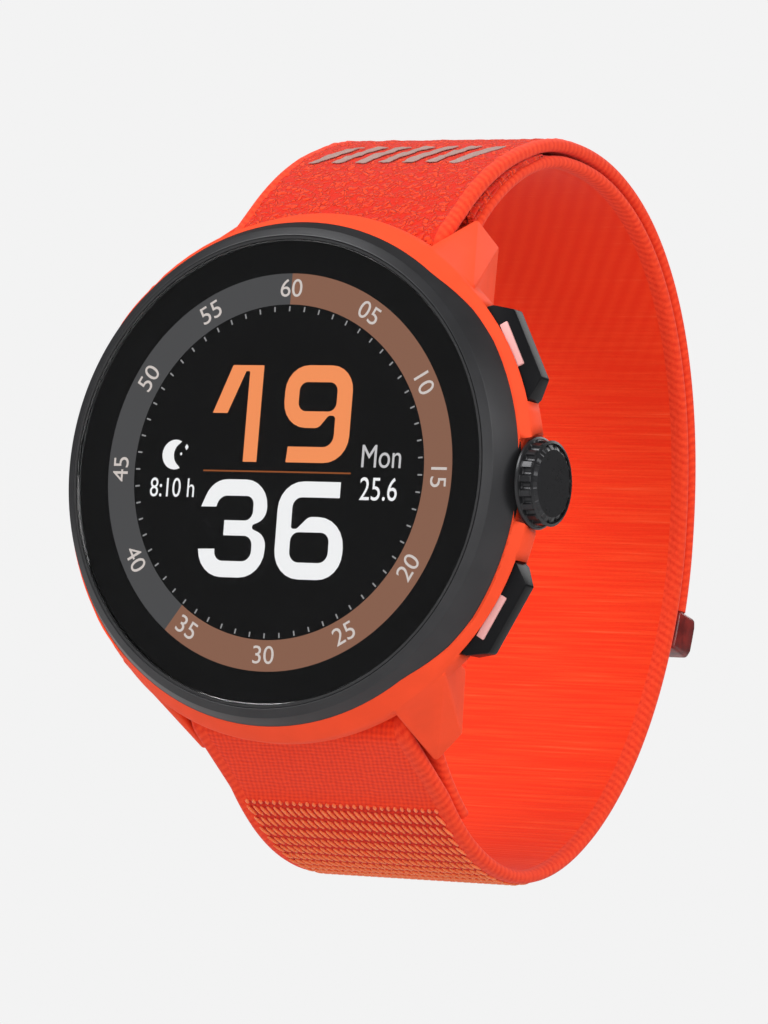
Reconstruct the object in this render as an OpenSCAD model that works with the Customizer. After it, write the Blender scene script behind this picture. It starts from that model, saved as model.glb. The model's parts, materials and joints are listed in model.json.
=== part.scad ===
// Round GPS running watch on a hook-and-loop textile strap.
// It stands upright: the display faces -Y, 12 o'clock is +Z and the crown points to +X.
// The origin is the centre of the flat sensor window that lies on the wrist.

/* [Case] */
// Thickness from the sensor window to the front of the glass
case_h = 11.5; // [11.4:0.1:12.5]
// Radius of the case at 12 and 6 o'clock
case_r = 22.5; // [22.4:0.1:23]
// Width of the case over its sides at 3 and 9 o'clock
case_w = 46; // [45.8:0.1:47]
// Radius of the cover glass
glass_r = 19.6; // [19.2:0.1:19.6]
// Thickness of the cover glass
glass_t = 0.8; // [0.6:0.1:1]
// Gap between the lugs, which takes the strap
lug_gap = 22.2; // [22:0.1:22.4]
// Distance between the tips of opposite lugs
lug_to_lug = 45.6; // [45:0.1:46.5]

/* [Controls] */
// Diameter of the crown's rear collar
crown_d = 7.7; // [7:0.1:8]
// Number of grooves around the crown
crown_grooves = 18; // [12:1:24]
// Travel of a button when pressed
press_travel = 0.4; // [0.2:0.1:0.4]
// Angle of the buttons above and below 3 o'clock
button_angle = 28.25; // [27:0.25:29]
// Length of a button along the case
button_len = 9; // [8:0.1:9.4]

/* [Strap] */
// Width of the strap
strap_w = 21.6; // [20:0.1:21.8]
// Thickness of one layer of the strap
strap_t = 1.1; // [0.9:0.05:1.2]
// Height of the wrist opening from 6 to 12 o'clock
wrist_h = 61.2; // [60:0.1:64]
// Depth of the wrist opening behind its widest line
wrist_back = 25.1; // [22:0.1:30]

/* [Hidden] */
$fn = 96;
fit = 0.03;          // clearance between pieces that are fixed together
run_fit = 0.05;      // radial clearance of a shaft in its bore

// Heights over the sensor window, towards the viewer
glass_z = case_h - glass_t;
display_t = 0.85;
display_z = glass_z - 0.02 - display_t;
bezel_top = case_h - 0.07;
bezel_edge_z = case_h - 0.57;
bezel_foot = case_h - 3.15;
seat_z = bezel_foot - fit;
groove_depth = 0.3;
rim_top = case_h - 1.57;
rim_edge_z = case_h - 3.3;
side_top = case_h - 2.75;
back_rim_z = 0.9;
back_plate_z = 2;
frame_z = 5.6;
frame_top = 8.2;
board_z = 4.2;
board_t = 0.8;

// Radii
bezel_in_r = glass_r + 0.27;
bezel_edge_r = 20.65;
bezel_foot_r = 21.9;
cavity_r = 19.6;
gasket_r = 19.9;
low_cavity_r = 17.9;
low_cavity_y = 16;
side_shift = 1.7;
side_r = case_w / 2 - side_shift;
back_r = 16.2;
window_r = 9.4;

// Spring bars
bar_z = 2.4;
bar_y = 20;
bar_r = 0.9;
bar_bore_r = 0.62;
bar_len = 20;
pin_r = bar_bore_r - 0.04;
pin_tip_r = 0.45;
pin_reach = 12.3;
pin_travel = 1.3;
lug_out = lug_to_lug / 2;

// Crown and buttons
crown_z = 6.3;
crown_rear_x = 22.2;
crown_face_x = 23.85;
crown_cap_r = 3.5;
crown_pocket_x = 21.7;
stem_r = 1.3;
stem_neck_r = 0.8;
tube_r = 1.6;
button_z = 7.05;
button_h = 2.2;
button_foot_x = 22;
button_top_x = 24.25;
button_top_len = 6.5;
button_top_h = 1.3;
button_stem_r = 0.9;
button_neck_r = 0.45;
spring_r = 1.15;
spring_seat_x = 22.48;
insert_len = 4.1;
insert_shift = 0.5;

// Strap: an oval around the wrist, seen from the crown side, as [Y, Z]
oval_c = [17.5, -0.5];
oval_b = wrist_h / 2;
oval_front = 23.5;
upper_bar = [-bar_z, bar_y];
lower_bar = [-bar_z, -bar_y];
fold_r = 1.05 + strap_t / 2;
hook_t = 0.2;
layer_gap = 0.35;
fold_slack = 1.35;
slack_from = 108;
fold_lean = 147;
fold_wrap = 50;
tail_last = -11;

// ---- Helpers ----

// Turns a shape that lies face up, with 12 o'clock at +Y, into the upright pose
module upright() {
    rotate([90, 0, 0]) children();
}

// Ring of rectangular section
module ring(inner, outer, low, high) {
    rotate_extrude() translate([inner, low]) square([outer - inner, high - low]);
}

// Disc with a chamfer around its upper edge
module disc(r, low, high, chamfer) {
    rotate_extrude() polygon([
        [0, low], [r, low], [r, high - chamfer], [r - chamfer, high], [0, high]
    ]);
}

// Box given by its lowest and highest corners
module box(low, high) {
    translate(low) cube(high - low);
}

// Solid that turns about the X axis, from a section of [X, radius] points
module turned_x(points) {
    rotate([0, 90, 0]) rotate_extrude() polygon([for (p = points) [p[1], p[0]]]);
}

// Round bar along X between two places
module rod_x(r, from, to) {
    translate([from, 0, 0]) rotate([0, 90, 0]) cylinder(r = r, h = to - from);
}

// Tube along X between two places
module tube_x(inner, outer, from, to) {
    turned_x([[from, inner], [from, outer], [to, outer], [to, inner]]);
}

// O-ring about the X axis
module o_ring_x(at, r, wire) {
    rotate([0, 90, 0]) rotate_extrude() translate([r, at]) circle(r = wire, $fn = 32);
}

// Places a child at the crown's axis
module at_crown() {
    translate([0, 0, crown_z]) children();
}

// Places a child at a button: side is 1 above 3 o'clock and -1 below
module at_button(side) {
    rotate([0, 0, side * button_angle]) translate([0, 0, button_z]) children();
}

// Places a child at a spring bar: side is 1 at 12 o'clock and -1 at 6 o'clock
module at_bar(side) {
    translate([0, side * bar_y, bar_z]) children();
}

// ---- Display side ----

module cover_glass() {
    color([0.1, 0.11, 0.12, 0.4]) upright() disc(glass_r, glass_z, case_h, 0.2);
}

module glass_gasket() {
    color([0.05, 0.05, 0.05]) upright()
        ring(glass_r + fit, bezel_in_r - fit, glass_z, bezel_top - 0.05);
}

module display_panel() {
    color([0.04, 0.04, 0.05]) upright()
        translate([0, 0, display_z]) cylinder(r = 18.2, h = display_t);
}

module bezel_ring() {
    color([0.09, 0.09, 0.1]) upright() rotate_extrude() polygon([
        [bezel_in_r, glass_z - fit],
        [bezel_in_r, bezel_top],
        [bezel_edge_r, bezel_edge_z],
        [bezel_foot_r, bezel_foot + 0.25],
        [bezel_foot_r, bezel_foot],
        [cavity_r, bezel_foot],
        [cavity_r, glass_z - 1],
        [glass_r - 0.9, glass_z - 0.5],
        [glass_r - 0.9, glass_z - fit]
    ]);
}

module bezel_gasket() {
    color([0.05, 0.05, 0.05]) upright() ring(gasket_r + fit, gasket_r + 0.55, seat_z - groove_depth + fit, seat_z);
}

// ---- Case ----

// Section of the case wall, as [radius, height]; the shift moves it for the side flanges
function case_section(r, top_r, top_z, edge_z, knee_z) = [
    [0, back_rim_z],
    [17.6, back_rim_z],
    [18.3, back_rim_z + 0.2],
    [r - 3, 2.2],
    [r - 1.4, knee_z - 1.9],
    [r - 0.35, knee_z - 0.3],
    [r, knee_z + 0.4],
    [r, edge_z - 0.15],
    [r - 0.12, edge_z + 0.1],
    [top_r, top_z],
    [0, top_z]
];

// Side flange: a slightly smaller wall whose centre is moved towards 3 or 9 o'clock
module side_flange(side) {
    translate([side * side_shift, 0, 0]) rotate_extrude()
        polygon(case_section(side_r, bezel_foot_r - side_shift, side_top, side_top - 0.4, 6));
}

// Cuts the raised rim down along the two sides, so its edge sweeps from high to low
module rim_sweep(side) {
    rotate([90, 0, 0]) translate([0, 0, -30]) linear_extrude(60) polygon([
        [side * 18.6, side_top],
        [side * 16.6, side_top + 0.25],
        [side * 13.6, rim_top - 0.2],
        [side * 11.6, rim_top + 0.1],
        [side * 11.6, rim_top + 2],
        [side * 30, rim_top + 2],
        [side * 30, side_top]
    ]);
}

// One lug: a prong that slopes back from the rim to the height of the wrist
module lug(sx, sy) {
    corner_r = 0.35;
    inner = lug_gap / 2 + corner_r;
    front = rim_edge_z - 0.35;
    mirror([sx < 0 ? 1 : 0, 0, 0]) mirror([0, sy < 0 ? 1 : 0, 0]) hull() {
        for (p = [
            [inner, 19.05, front], [15.5, 16.15, front - 0.2],
            [inner, lug_out - corner_r, 0.55], [13.4, 20.4, 0.55],
            [inner, 17.2, 0.75], [13.4, 15.4, 0.75],
            [inner, 15.5, front], [15, 13.6, front - 0.2]
        ]) translate(p) sphere(r = corner_r, $fn = 24);
    }
}

// Space inside the case for everything that it holds
module case_hollow() {
    translate([0, 0, 5.5]) cylinder(r = cavity_r, h = case_h);
    intersection() {
        translate([0, 0, 2.6]) cylinder(r = low_cavity_r, h = 3);
        box([-25, -low_cavity_y, 2.5], [25, low_cavity_y, 6]);
    }
    translate([0, 0, back_plate_z]) cylinder(r = 15.4, h = 1);
    translate([0, 0, -1]) cylinder(r = back_r + fit, h = back_plate_z + 1);
    box([12, -2.7, 3.2], [19.3, 2.7, 8]);
}

// Seat of the bezel, with the groove of its gasket
module bezel_seat() {
    rotate_extrude() polygon([
        [0, seat_z],
        [bezel_foot_r + fit, seat_z],
        [bezel_foot_r + fit, bezel_foot + 0.25],
        [bezel_edge_r + fit, bezel_edge_z],
        [bezel_edge_r + fit, case_h + 1],
        [0, case_h + 1]
    ]);
    ring(gasket_r, gasket_r + 0.6, seat_z - groove_depth, seat_z + 0.1);
}

// Room for the folded strap between two lugs
module strap_scoop(side) {
    half = lug_gap / 2;
    at_bar(side) rod_x(2.75, -half, half);
    mirror([0, side < 0 ? 1 : 0, 0])
        box([-half, bar_y - 1.6, -1], [half, 30, bar_z + 2.2]);
}

module crown_cuts() {
    at_crown() {
        rod_x(crown_d / 2 + 0.3, crown_pocket_x, 30);
        rod_x(tube_r + fit, 18, 23);
    }
}

module button_cuts(side) {
    at_button(side) {
        box([button_foot_x - press_travel - 0.1, -button_len / 2 - 0.1, -button_h / 2 - 0.1],
            [30, button_len / 2 + 0.1, button_h / 2 + 0.1]);
        rod_x(button_stem_r + run_fit, 18, 22);
        rod_x(spring_r + run_fit, 20.9, 22);
    }
}

module bar_holes() {
    for (side = [1, -1]) at_bar(side) rod_x(pin_tip_r + run_fit, -pin_reach - 0.3, pin_reach + 0.3);
}

// Bosses for the case back's screws
module screw_bosses() {
    for (a = [45:90:315]) rotate([0, 0, a]) {
        translate([15, 0, back_plate_z]) cylinder(r = 1.25, h = 3.3);
        box([15, -1.25, back_plate_z], [18.3, 1.25, back_plate_z + 3.3]);
    }
}

module screw_places(r, low, high) {
    for (a = [45:90:315]) rotate([0, 0, a]) translate([15, 0, low]) cylinder(r = r, h = high - low);
}

module case_body() {
    color([0.95, 0.28, 0.12]) upright() difference() {
        union() {
            difference() {
                union() {
                    difference() {
                        rotate_extrude()
                            polygon(case_section(case_r, 21.2, rim_top, rim_edge_z, 6.4));
                        for (side = [1, -1]) rim_sweep(side);
                    }
                    for (side = [1, -1]) side_flange(side);
                    for (sx = [1, -1], sy = [1, -1]) lug(sx, sy);
                }
                for (side = [1, -1]) strap_scoop(side);
                case_hollow();
            }
            screw_bosses();
        }
        bezel_seat();
        crown_cuts();
        for (side = [1, -1]) button_cuts(side);
        bar_holes();
        screw_places(0.5, 1, 4.6);
    }
}

// ---- Inside the case ----

// Openings in the inner frame for the crown and the buttons
module control_room(half_w) {
    box([11, -half_w - 1, 0], [25, half_w + 1, case_h]);
    for (side = [1, -1]) rotate([0, 0, side * button_angle]) box([11, -half_w, 0], [25, half_w, case_h]);
}

module inner_frame() {
    color([0.2, 0.2, 0.22]) upright() difference() {
        ring(16.6, cavity_r - 0.2, frame_z, frame_top);
        control_room(2.2);
    }
}

module antenna_ring() {
    color([0.75, 0.6, 0.3]) upright() difference() {
        ring(18.4, cavity_r - 0.3, frame_top + fit, frame_top + 0.25);
        box([15, -3, 0], [25, 3, case_h]);
    }
}

module battery() {
    color([0.7, 0.7, 0.72]) upright() translate([-1.1, 0, 5.3]) linear_extrude(3.6)
        offset(r = 1, $fn = 32) square([21, 18], center = true);
}

module main_board() {
    color([0.05, 0.3, 0.15]) upright() difference() {
        intersection() {
            translate([0, 0, board_z]) cylinder(r = low_cavity_r - 0.3, h = board_t);
            box([-20, -low_cavity_y + 0.3, 0], [20, low_cavity_y - 0.3, case_h]);
        }
        box([12.6, -3, 0], [25, 3, case_h]);
        for (a = [45:90:315]) rotate([0, 0, a]) box([13.3, -1.6, 0], [20, 1.6, case_h]);
    }
}

module board_shields() {
    color([0.75, 0.75, 0.78]) upright() {
        box([-11.5, -7, 2.95], [-1, 4, board_z - fit]);
        box([1, -7, 2.95], [9.5, 1, board_z - fit]);
        box([1, 3, 3.2], [7, 8, board_z - fit]);
    }
}

module vibration_motor() {
    color([0.65, 0.65, 0.67]) upright() translate([0, -13.3, frame_z]) cylinder(r = 3, h = 2.5);
}

module case_back() {
    color([0.13, 0.13, 0.14]) upright() difference() {
        rotate_extrude() polygon([
            [8.9, 0.8 + fit], [window_r + fit, 0.8 + fit], [window_r + fit, 0.25], [12.7, 0.25],
            [14, back_rim_z], [back_r, back_rim_z], [back_r, 1.7], [15.5, 1.7],
            [15.5, back_plate_z - fit], [8.9, back_plate_z - fit]
        ]);
        for (x = [-3.3:2.2:3.3]) translate([x, -10.9, 0]) cylinder(r = 0.78, h = 3);
        screw_places(0.55, 0, 3);
        screw_places(0.98, 0, 1.42);
    }
}

module case_back_gasket() {
    color([0.05, 0.05, 0.05]) upright() ring(15.55, back_r - fit, 1.7 + fit, back_plate_z - fit);
}

module case_back_screws() {
    color([0.7, 0.7, 0.72]) upright() difference() {
        union() {
            screw_places(0.93, back_rim_z + 0.05, 1.4);
            screw_places(0.46, 1.4, 4.4);
        }
        for (a = [45:90:315]) rotate([0, 0, a]) translate([15, 0, 0])
            cylinder(r = 0.45, h = 1.15, $fn = 6);
    }
}

module sensor_window() {
    color([0.06, 0.06, 0.07, 0.6]) upright() difference() {
        cylinder(r = window_r, h = 0.8);
        translate([0, 0, -1]) ring(window_r - 0.25, window_r + 1, 0, 1.1);
    }
}

module sensor_board() {
    color([0.05, 0.25, 0.35]) upright() translate([0, 0, 1.35]) cylinder(r = 8.6, h = 0.6);
}

// Three light sources in the middle and four photodiodes around them
module sensor_leds() {
    color([0.4, 0.9, 0.5]) upright() {
        for (x = [-1.3:1.3:1.3]) box([x - 0.5, -0.6, 0.9], [x + 0.5, 0.6, 1.35 - fit]);
        for (a = [45:90:315]) rotate([0, 0, a]) box([4.4, -1.2, 0.9], [6.8, 1.2, 1.35 - fit]);
    }
}

module charging_contacts() {
    color([0.85, 0.7, 0.4]) upright()
        for (x = [-3.3:2.2:3.3]) translate([x, -10.9, 0.15]) disc(0.75, 0, 1.7, 0);
}

// ---- Crown ----

module crown_knob() {
    groove_x = crown_rear_x + 0.42;
    color([0.08, 0.08, 0.09]) upright() at_crown() difference() {
        turned_x([
            [crown_rear_x, 0], [crown_rear_x, crown_d / 2 - 0.15],
            [crown_rear_x + 0.12, crown_d / 2], [crown_rear_x + 0.32, crown_d / 2],
            [groove_x, crown_cap_r + 0.05], [crown_face_x - 0.35, crown_cap_r],
            [crown_face_x - 0.1, crown_cap_r - 0.12], [crown_face_x, crown_cap_r - 0.4],
            [crown_face_x, 0]
        ]);
        for (i = [0:crown_grooves - 1]) rotate([i * 360 / crown_grooves, 0, 0])
            translate([0, 0, crown_cap_r + 0.18]) rod_x(0.42, groove_x, crown_face_x - 0.45);
        rod_x(stem_r + 0.02, crown_rear_x - 1, crown_face_x - 0.75);
    }
}

module crown_stem() {
    color([0.7, 0.7, 0.72]) upright() at_crown() difference() {
        union() {
            rod_x(stem_r, 18.5, crown_face_x - 0.8);
            rod_x(stem_neck_r, 15.6, 18.6);
        }
        for (x = [19.9, 20.9]) tube_x(0.96, 3, x - 0.23, x + 0.23);
        tube_x(0.6, 3, 16.18, 16.52);
    }
}

module crown_o_rings() {
    color([0.05, 0.05, 0.05]) upright() at_crown() for (x = [19.9, 20.9]) o_ring_x(x, 1.15, 0.18);
}

module crown_tube() {
    color([0.6, 0.6, 0.62]) upright() at_crown() tube_x(stem_r + run_fit, tube_r, 18.9, 21.85);
}

module crown_thrust_bush() {
    color([0.85, 0.85, 0.8]) upright() at_crown() tube_x(stem_neck_r + run_fit, 1.5, 16.6, 17.5);
}

module crown_clip() {
    color([0.5, 0.5, 0.52]) upright() at_crown() tube_x(0.62, 1.25, 16.22, 16.48);
}

module encoder_wheel() {
    color([0.3, 0.3, 0.32]) upright() at_crown() difference() {
        tube_x(stem_neck_r + 0.02, 1.9, 17.6, 18.4);
        for (i = [0:11]) rotate([i * 30, 0, 0]) translate([0, 0, 1.95]) rod_x(0.18, 17.5, 18.5);
    }
}

module encoder_sensor() {
    color([0.1, 0.1, 0.1]) upright() box([17, -1, 3.3], [19, 1, 3.8]);
}

module crown_switch() {
    color([0.8, 0.8, 0.75]) upright() at_crown() {
        box([13.6, -1.6, -1.1], [14.9, 1.6, 1.4]);
        rod_x(0.6, 14.8, 15.1);
    }
}

// ---- Buttons ----

// Wedge whose front and ends slope in towards its top
module button_wedge() {
    shoulder_x = 22.75;
    hull() {
        box([button_foot_x, -button_len / 2, -button_h / 2], [shoulder_x, button_len / 2, button_h / 2]);
        box([button_top_x - 0.15, -button_top_len / 2 + 0.1, -button_top_h / 2 - 0.15],
            [button_top_x - 0.1, button_top_len / 2 - 0.1, button_top_h / 2 + 0.05]);
        box([button_top_x - 0.1, -button_top_len / 2 + 0.3, -button_top_h / 2],
            [button_top_x, button_top_len / 2 - 0.3, button_top_h / 2 - 0.1]);
    }
}

// Slot on the front slope of a button, which the insert fills
module insert_slot(side, gap) {
    half = insert_len / 2 + gap;
    translate([0, side * insert_shift, 0]) box([22.5 - gap, -half, 0.5 - gap], [23.32 + gap, half, 2]);
}

module button_cap(side) {
    color([0.06, 0.05, 0.06]) upright() at_button(side) difference() {
        button_wedge();
        insert_slot(side, 0.02);
        rod_x(button_neck_r + 0.02, 21, 23);
        rod_x(spring_r + run_fit, 21, spring_seat_x);
    }
}

module button_insert(side) {
    color([0.95, 0.8, 0.8]) upright() at_button(side) intersection() {
        button_wedge();
        insert_slot(side, 0);
    }
}

module button_stem(side) {
    color([0.7, 0.7, 0.72]) upright() at_button(side) difference() {
        union() {
            rod_x(button_stem_r, 17.55, spring_seat_x - 0.02);
            rod_x(button_neck_r, spring_seat_x - 0.1, 22.95);
        }
        tube_x(0.6, 2, 20, 20.4);
        tube_x(0.6, 2, 17.93, 18.27);
    }
}

module button_o_ring(side) {
    color([0.05, 0.05, 0.05]) upright() at_button(side) o_ring_x(20.2, 0.77, 0.16);
}

module button_clip(side) {
    color([0.5, 0.5, 0.52]) upright() at_button(side) tube_x(0.62, 1.25, 17.97, 18.23);
}

module button_spring(side) {
    color([0.75, 0.75, 0.78]) upright() at_button(side) tube_x(0.96, spring_r, 21.4, 22.45);
}

module button_switch(side) {
    color([0.8, 0.8, 0.75]) upright() at_button(side) {
        box([15.5, -1.5, -1.1], [16.9, 1.5, 1.1]);
        rod_x(0.5, 16.8, 17.1);
    }
}

// ---- Spring bars ----

module bar_tube(side) {
    color([0.72, 0.72, 0.74]) upright() at_bar(side) tube_x(bar_bore_r, bar_r, -bar_len / 2, bar_len / 2);
}

module bar_spring(side) {
    half = 8.6 - pin_travel - 0.1;
    color([0.6, 0.6, 0.62]) upright() at_bar(side) tube_x(0.28, 0.5, -half, half);
}

// Shouldered pin: end is 1 on the crown side and -1 on the far side
module bar_pin(side, end) {
    color([0.8, 0.8, 0.82]) upright() at_bar(side) mirror([end < 0 ? 1 : 0, 0, 0]) turned_x([
        [8.6, 0], [8.6, pin_r], [bar_len / 2 - 0.3, pin_r], [bar_len / 2 - 0.3, pin_tip_r],
        [pin_reach - 0.15, pin_tip_r], [pin_reach, pin_tip_r - 0.15], [pin_reach, 0]
    ]);
}

// ---- Strap ----

function signed_pow(v, e) = (v < 0 ? -1 : 1) * pow(abs(v), e);

// Point of the wrist oval at angle t: 0 at the back, 90 at the top, -90 at the bottom
function oval(t) =
    let (n = abs(t) >= 90 ? 2 : t > 0 ? 2.2 : 1.85, a = abs(t) >= 90 ? oval_front : wrist_back)
    oval_c + [a * signed_pow(cos(t), 2 / n), oval_b * signed_pow(sin(t), 2 / n)];

// Outward normal of the oval at angle t
function oval_normal(t) =
    let (d = oval(t + 0.5) - oval(t - 0.5)) [d[1], -d[0]] / norm(d);

function off_oval(t, d) = oval(t) + d * oval_normal(t);

function arc(c, r, from, to, step) = [for (a = [from:step:to]) c + r * [cos(a), sin(a)]];

// Outline of a ribbon of thickness t along a path
function path_normal(p, i) =
    let (d = p[min(i + 1, len(p) - 1)] - p[max(i - 1, 0)]) [d[1], -d[0]] / norm(d);

function ribbon(p, t) = concat(
    [for (i = [0:len(p) - 1]) p[i] + t / 2 * path_normal(p, i)],
    [for (i = [len(p) - 1:-1:0]) p[i] - t / 2 * path_normal(p, i)]
);

// Distance of the tail's middle line from the oval: it stands off near the fold
function tail_offset(t) =
    strap_t * 1.5 + layer_gap + fold_slack * pow(max(0, t - slack_from) / 32, 1.2);

// The band starts as a flap sewn inside, turns round the lower bar, goes round the wrist
// and ends under the upper bar
band_path = concat(
    [for (t = [-118:-4:-130]) off_oval(t, -strap_t / 2 - 0.12)],
    arc(lower_bar, fold_r, 32, 232, 20),
    [for (t = [-126:4:134]) off_oval(t, strap_t / 2)],
    arc(upper_bar, fold_r, fold_lean - 180, fold_lean - 180 - fold_wrap, -10)
);

// The tail starts over the upper bar and lies on the band as far as its end tab
tail_path = concat(
    arc(upper_bar, fold_r, fold_lean + fold_wrap, fold_lean, -10),
    [for (t = [134:-5:tail_last]) off_oval(t, tail_offset(t))]
);

hook_path = [for (t = [26:-4:-10]) off_oval(t, strap_t + 0.1 + hook_t / 2)];

// Extrudes an outline given as [Y, Z] across the strap's width
module across_strap(points, w) {
    rotate([90, 0, 90]) translate([0, 0, -w / 2]) linear_extrude(w) polygon(points);
}

module strap_band() {
    color([0.97, 0.25, 0.12]) across_strap(ribbon(band_path, strap_t), strap_w);
}

module strap_tail() {
    color([0.98, 0.3, 0.15]) across_strap(ribbon(tail_path, strap_t), strap_w);
}

module hook_patch() {
    color([0.7, 0.15, 0.08]) across_strap(ribbon(hook_path, hook_t), strap_w - 3);
}

// Moulded tab over the end of the tail, with a rounded outer side
module end_tab() {
    low = strap_t + 0.1;
    top = strap_t * 2 + layer_gap + 2;
    color([0.55, 0.07, 0.05]) across_strap(concat(
        [for (t = [-17.9, -14.5]) off_oval(t, low)],
        [off_oval(tail_last - 0.1, low)],
        [off_oval(tail_last - 0.1, top - 0.5)],
        [for (t = [-12.2, -14.2, -16.2]) off_oval(t, top)],
        [off_oval(-17.4, top - 0.5)]
    ), strap_w);
}

cover_glass();
glass_gasket();
display_panel();
bezel_ring();
bezel_gasket();
case_body();
inner_frame();
antenna_ring();
battery();
main_board();
board_shields();
vibration_motor();
case_back();
case_back_gasket();
case_back_screws();
sensor_window();
sensor_board();
sensor_leds();
charging_contacts();
crown_knob();
crown_stem();
crown_o_rings();
crown_tube();
crown_thrust_bush();
crown_clip();
encoder_wheel();
encoder_sensor();
crown_switch();
button_cap(1);  // upper_button_cap
button_insert(1);  // upper_button_insert
button_stem(1);  // upper_button_stem
button_o_ring(1);  // upper_button_o_ring
button_clip(1);  // upper_button_clip
button_spring(1);  // upper_button_spring
button_switch(1);  // upper_button_switch
button_cap(-1);  // lower_button_cap
button_insert(-1);  // lower_button_insert
button_stem(-1);  // lower_button_stem
button_o_ring(-1);  // lower_button_o_ring
button_clip(-1);  // lower_button_clip
button_spring(-1);  // lower_button_spring
button_switch(-1);  // lower_button_switch
bar_tube(1);  // upper_bar_tube
bar_spring(1);  // upper_bar_spring
bar_pin(1, -1);  // upper_bar_left_pin
bar_pin(1, 1);  // upper_bar_right_pin
bar_tube(-1);  // lower_bar_tube
bar_spring(-1);  // lower_bar_spring
bar_pin(-1, -1);  // lower_bar_left_pin
bar_pin(-1, 1);  // lower_bar_right_pin
strap_band();
strap_tail();
hook_patch();
end_tab();
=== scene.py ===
"""Looks of a round GPS running watch on a hook-and-loop textile strap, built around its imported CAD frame."""

import json
import math

import bmesh
import bpy
from mathutils import Matrix, Vector, noise


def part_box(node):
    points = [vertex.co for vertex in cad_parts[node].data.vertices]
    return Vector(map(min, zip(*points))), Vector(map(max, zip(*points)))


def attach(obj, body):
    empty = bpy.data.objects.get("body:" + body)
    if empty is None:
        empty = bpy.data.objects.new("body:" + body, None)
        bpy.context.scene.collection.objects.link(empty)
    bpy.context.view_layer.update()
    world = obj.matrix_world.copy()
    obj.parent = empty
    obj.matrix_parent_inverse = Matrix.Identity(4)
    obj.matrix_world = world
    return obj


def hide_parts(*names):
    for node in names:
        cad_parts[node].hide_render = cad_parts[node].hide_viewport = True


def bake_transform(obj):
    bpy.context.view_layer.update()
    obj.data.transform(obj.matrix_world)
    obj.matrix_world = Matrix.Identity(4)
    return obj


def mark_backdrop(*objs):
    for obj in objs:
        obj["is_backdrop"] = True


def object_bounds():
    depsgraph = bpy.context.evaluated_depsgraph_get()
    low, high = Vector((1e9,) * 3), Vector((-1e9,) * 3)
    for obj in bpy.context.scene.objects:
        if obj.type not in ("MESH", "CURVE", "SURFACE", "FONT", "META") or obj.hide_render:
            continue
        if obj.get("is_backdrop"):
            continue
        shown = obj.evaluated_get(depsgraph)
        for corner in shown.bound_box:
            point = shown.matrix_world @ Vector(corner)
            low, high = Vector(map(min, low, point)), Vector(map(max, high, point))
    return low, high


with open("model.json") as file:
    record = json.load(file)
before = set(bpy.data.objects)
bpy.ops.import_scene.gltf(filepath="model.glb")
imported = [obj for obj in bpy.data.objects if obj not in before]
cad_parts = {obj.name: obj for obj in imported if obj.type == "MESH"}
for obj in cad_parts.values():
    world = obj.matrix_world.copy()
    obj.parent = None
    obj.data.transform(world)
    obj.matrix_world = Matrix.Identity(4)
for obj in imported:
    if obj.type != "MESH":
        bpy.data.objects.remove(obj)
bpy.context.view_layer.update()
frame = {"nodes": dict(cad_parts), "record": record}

bl_info = {
    "name": "Running watch looks",
    "version": (1, 0, 0),
    "blender": (4, 5, 0),
    "location": "3D View > Sidebar > Watch",
    "description": "Builds the visible pieces and finishes of a running watch around its CAD frame",
    "category": "Object",
}

MM = 0.001
NODES = frame["nodes"]

# ---------------------------------------------------------------- measures from the frame

GLASS_LOW, GLASS_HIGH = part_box("cover_glass")
BEZEL_LOW, BEZEL_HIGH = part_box("bezel_ring")
CROWN_LOW, CROWN_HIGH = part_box("crown_knob")
DISPLAY_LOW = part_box("display_panel")[0]
BAND_LOW, BAND_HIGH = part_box("strap_band")
UPPER_BAR = sum(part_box("upper_bar_tube"), Vector()) / 2
LOWER_BAR = sum(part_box("lower_bar_tube"), Vector()) / 2
STRAP_WIDTH = BAND_HIGH.x - BAND_LOW.x
BEZEL_R = BEZEL_HIGH.x
GLASS_R = GLASS_HIGH.x
GLASS_FRONT = GLASS_LOW.y


def srgb(red, green, blue):
    """Linear colour of a display colour given from 0 to 255."""
    def linear(value):
        value /= 255
        return value / 12.92 if value <= 0.04045 else ((value + 0.055) / 1.055) ** 2.4
    return tuple(linear(v) for v in (red, green, blue))


# ---------------------------------------------------------------- materials


class Wire:
    """A socket in a finish's node tree. Arithmetic on it adds Math nodes."""

    def __init__(self, finish, socket):
        self.finish, self.socket = finish, socket

    def math(self, operation, *values):
        return self.finish.node("ShaderNodeMath", {"operation": operation}, values)

    def __add__(self, other):
        return self.math("ADD", self, other)

    def __radd__(self, other):
        return self.math("ADD", other, self)

    def __sub__(self, other):
        return self.math("SUBTRACT", self, other)

    def __rsub__(self, other):
        return self.math("SUBTRACT", other, self)

    def __mul__(self, other):
        return self.math("MULTIPLY", self, other)

    def __rmul__(self, other):
        return self.math("MULTIPLY", other, self)

    def __truediv__(self, other):
        return self.math("DIVIDE", self, other)

    def __rtruediv__(self, other):
        return self.math("DIVIDE", other, self)

    def __pow__(self, other):
        return self.math("POWER", self, other)

    def sine(self):
        return self.math("SINE", self)

    def size(self):
        return self.math("ABSOLUTE", self)

    def over(self, low, high):
        """0 below low, 1 above high, and a smooth step between; low may be the larger."""
        return self.finish.node(
            "ShaderNodeMapRange", {"interpolation_type": "SMOOTHSTEP"},
            {"Value": self, "From Min": low, "From Max": high})


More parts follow.
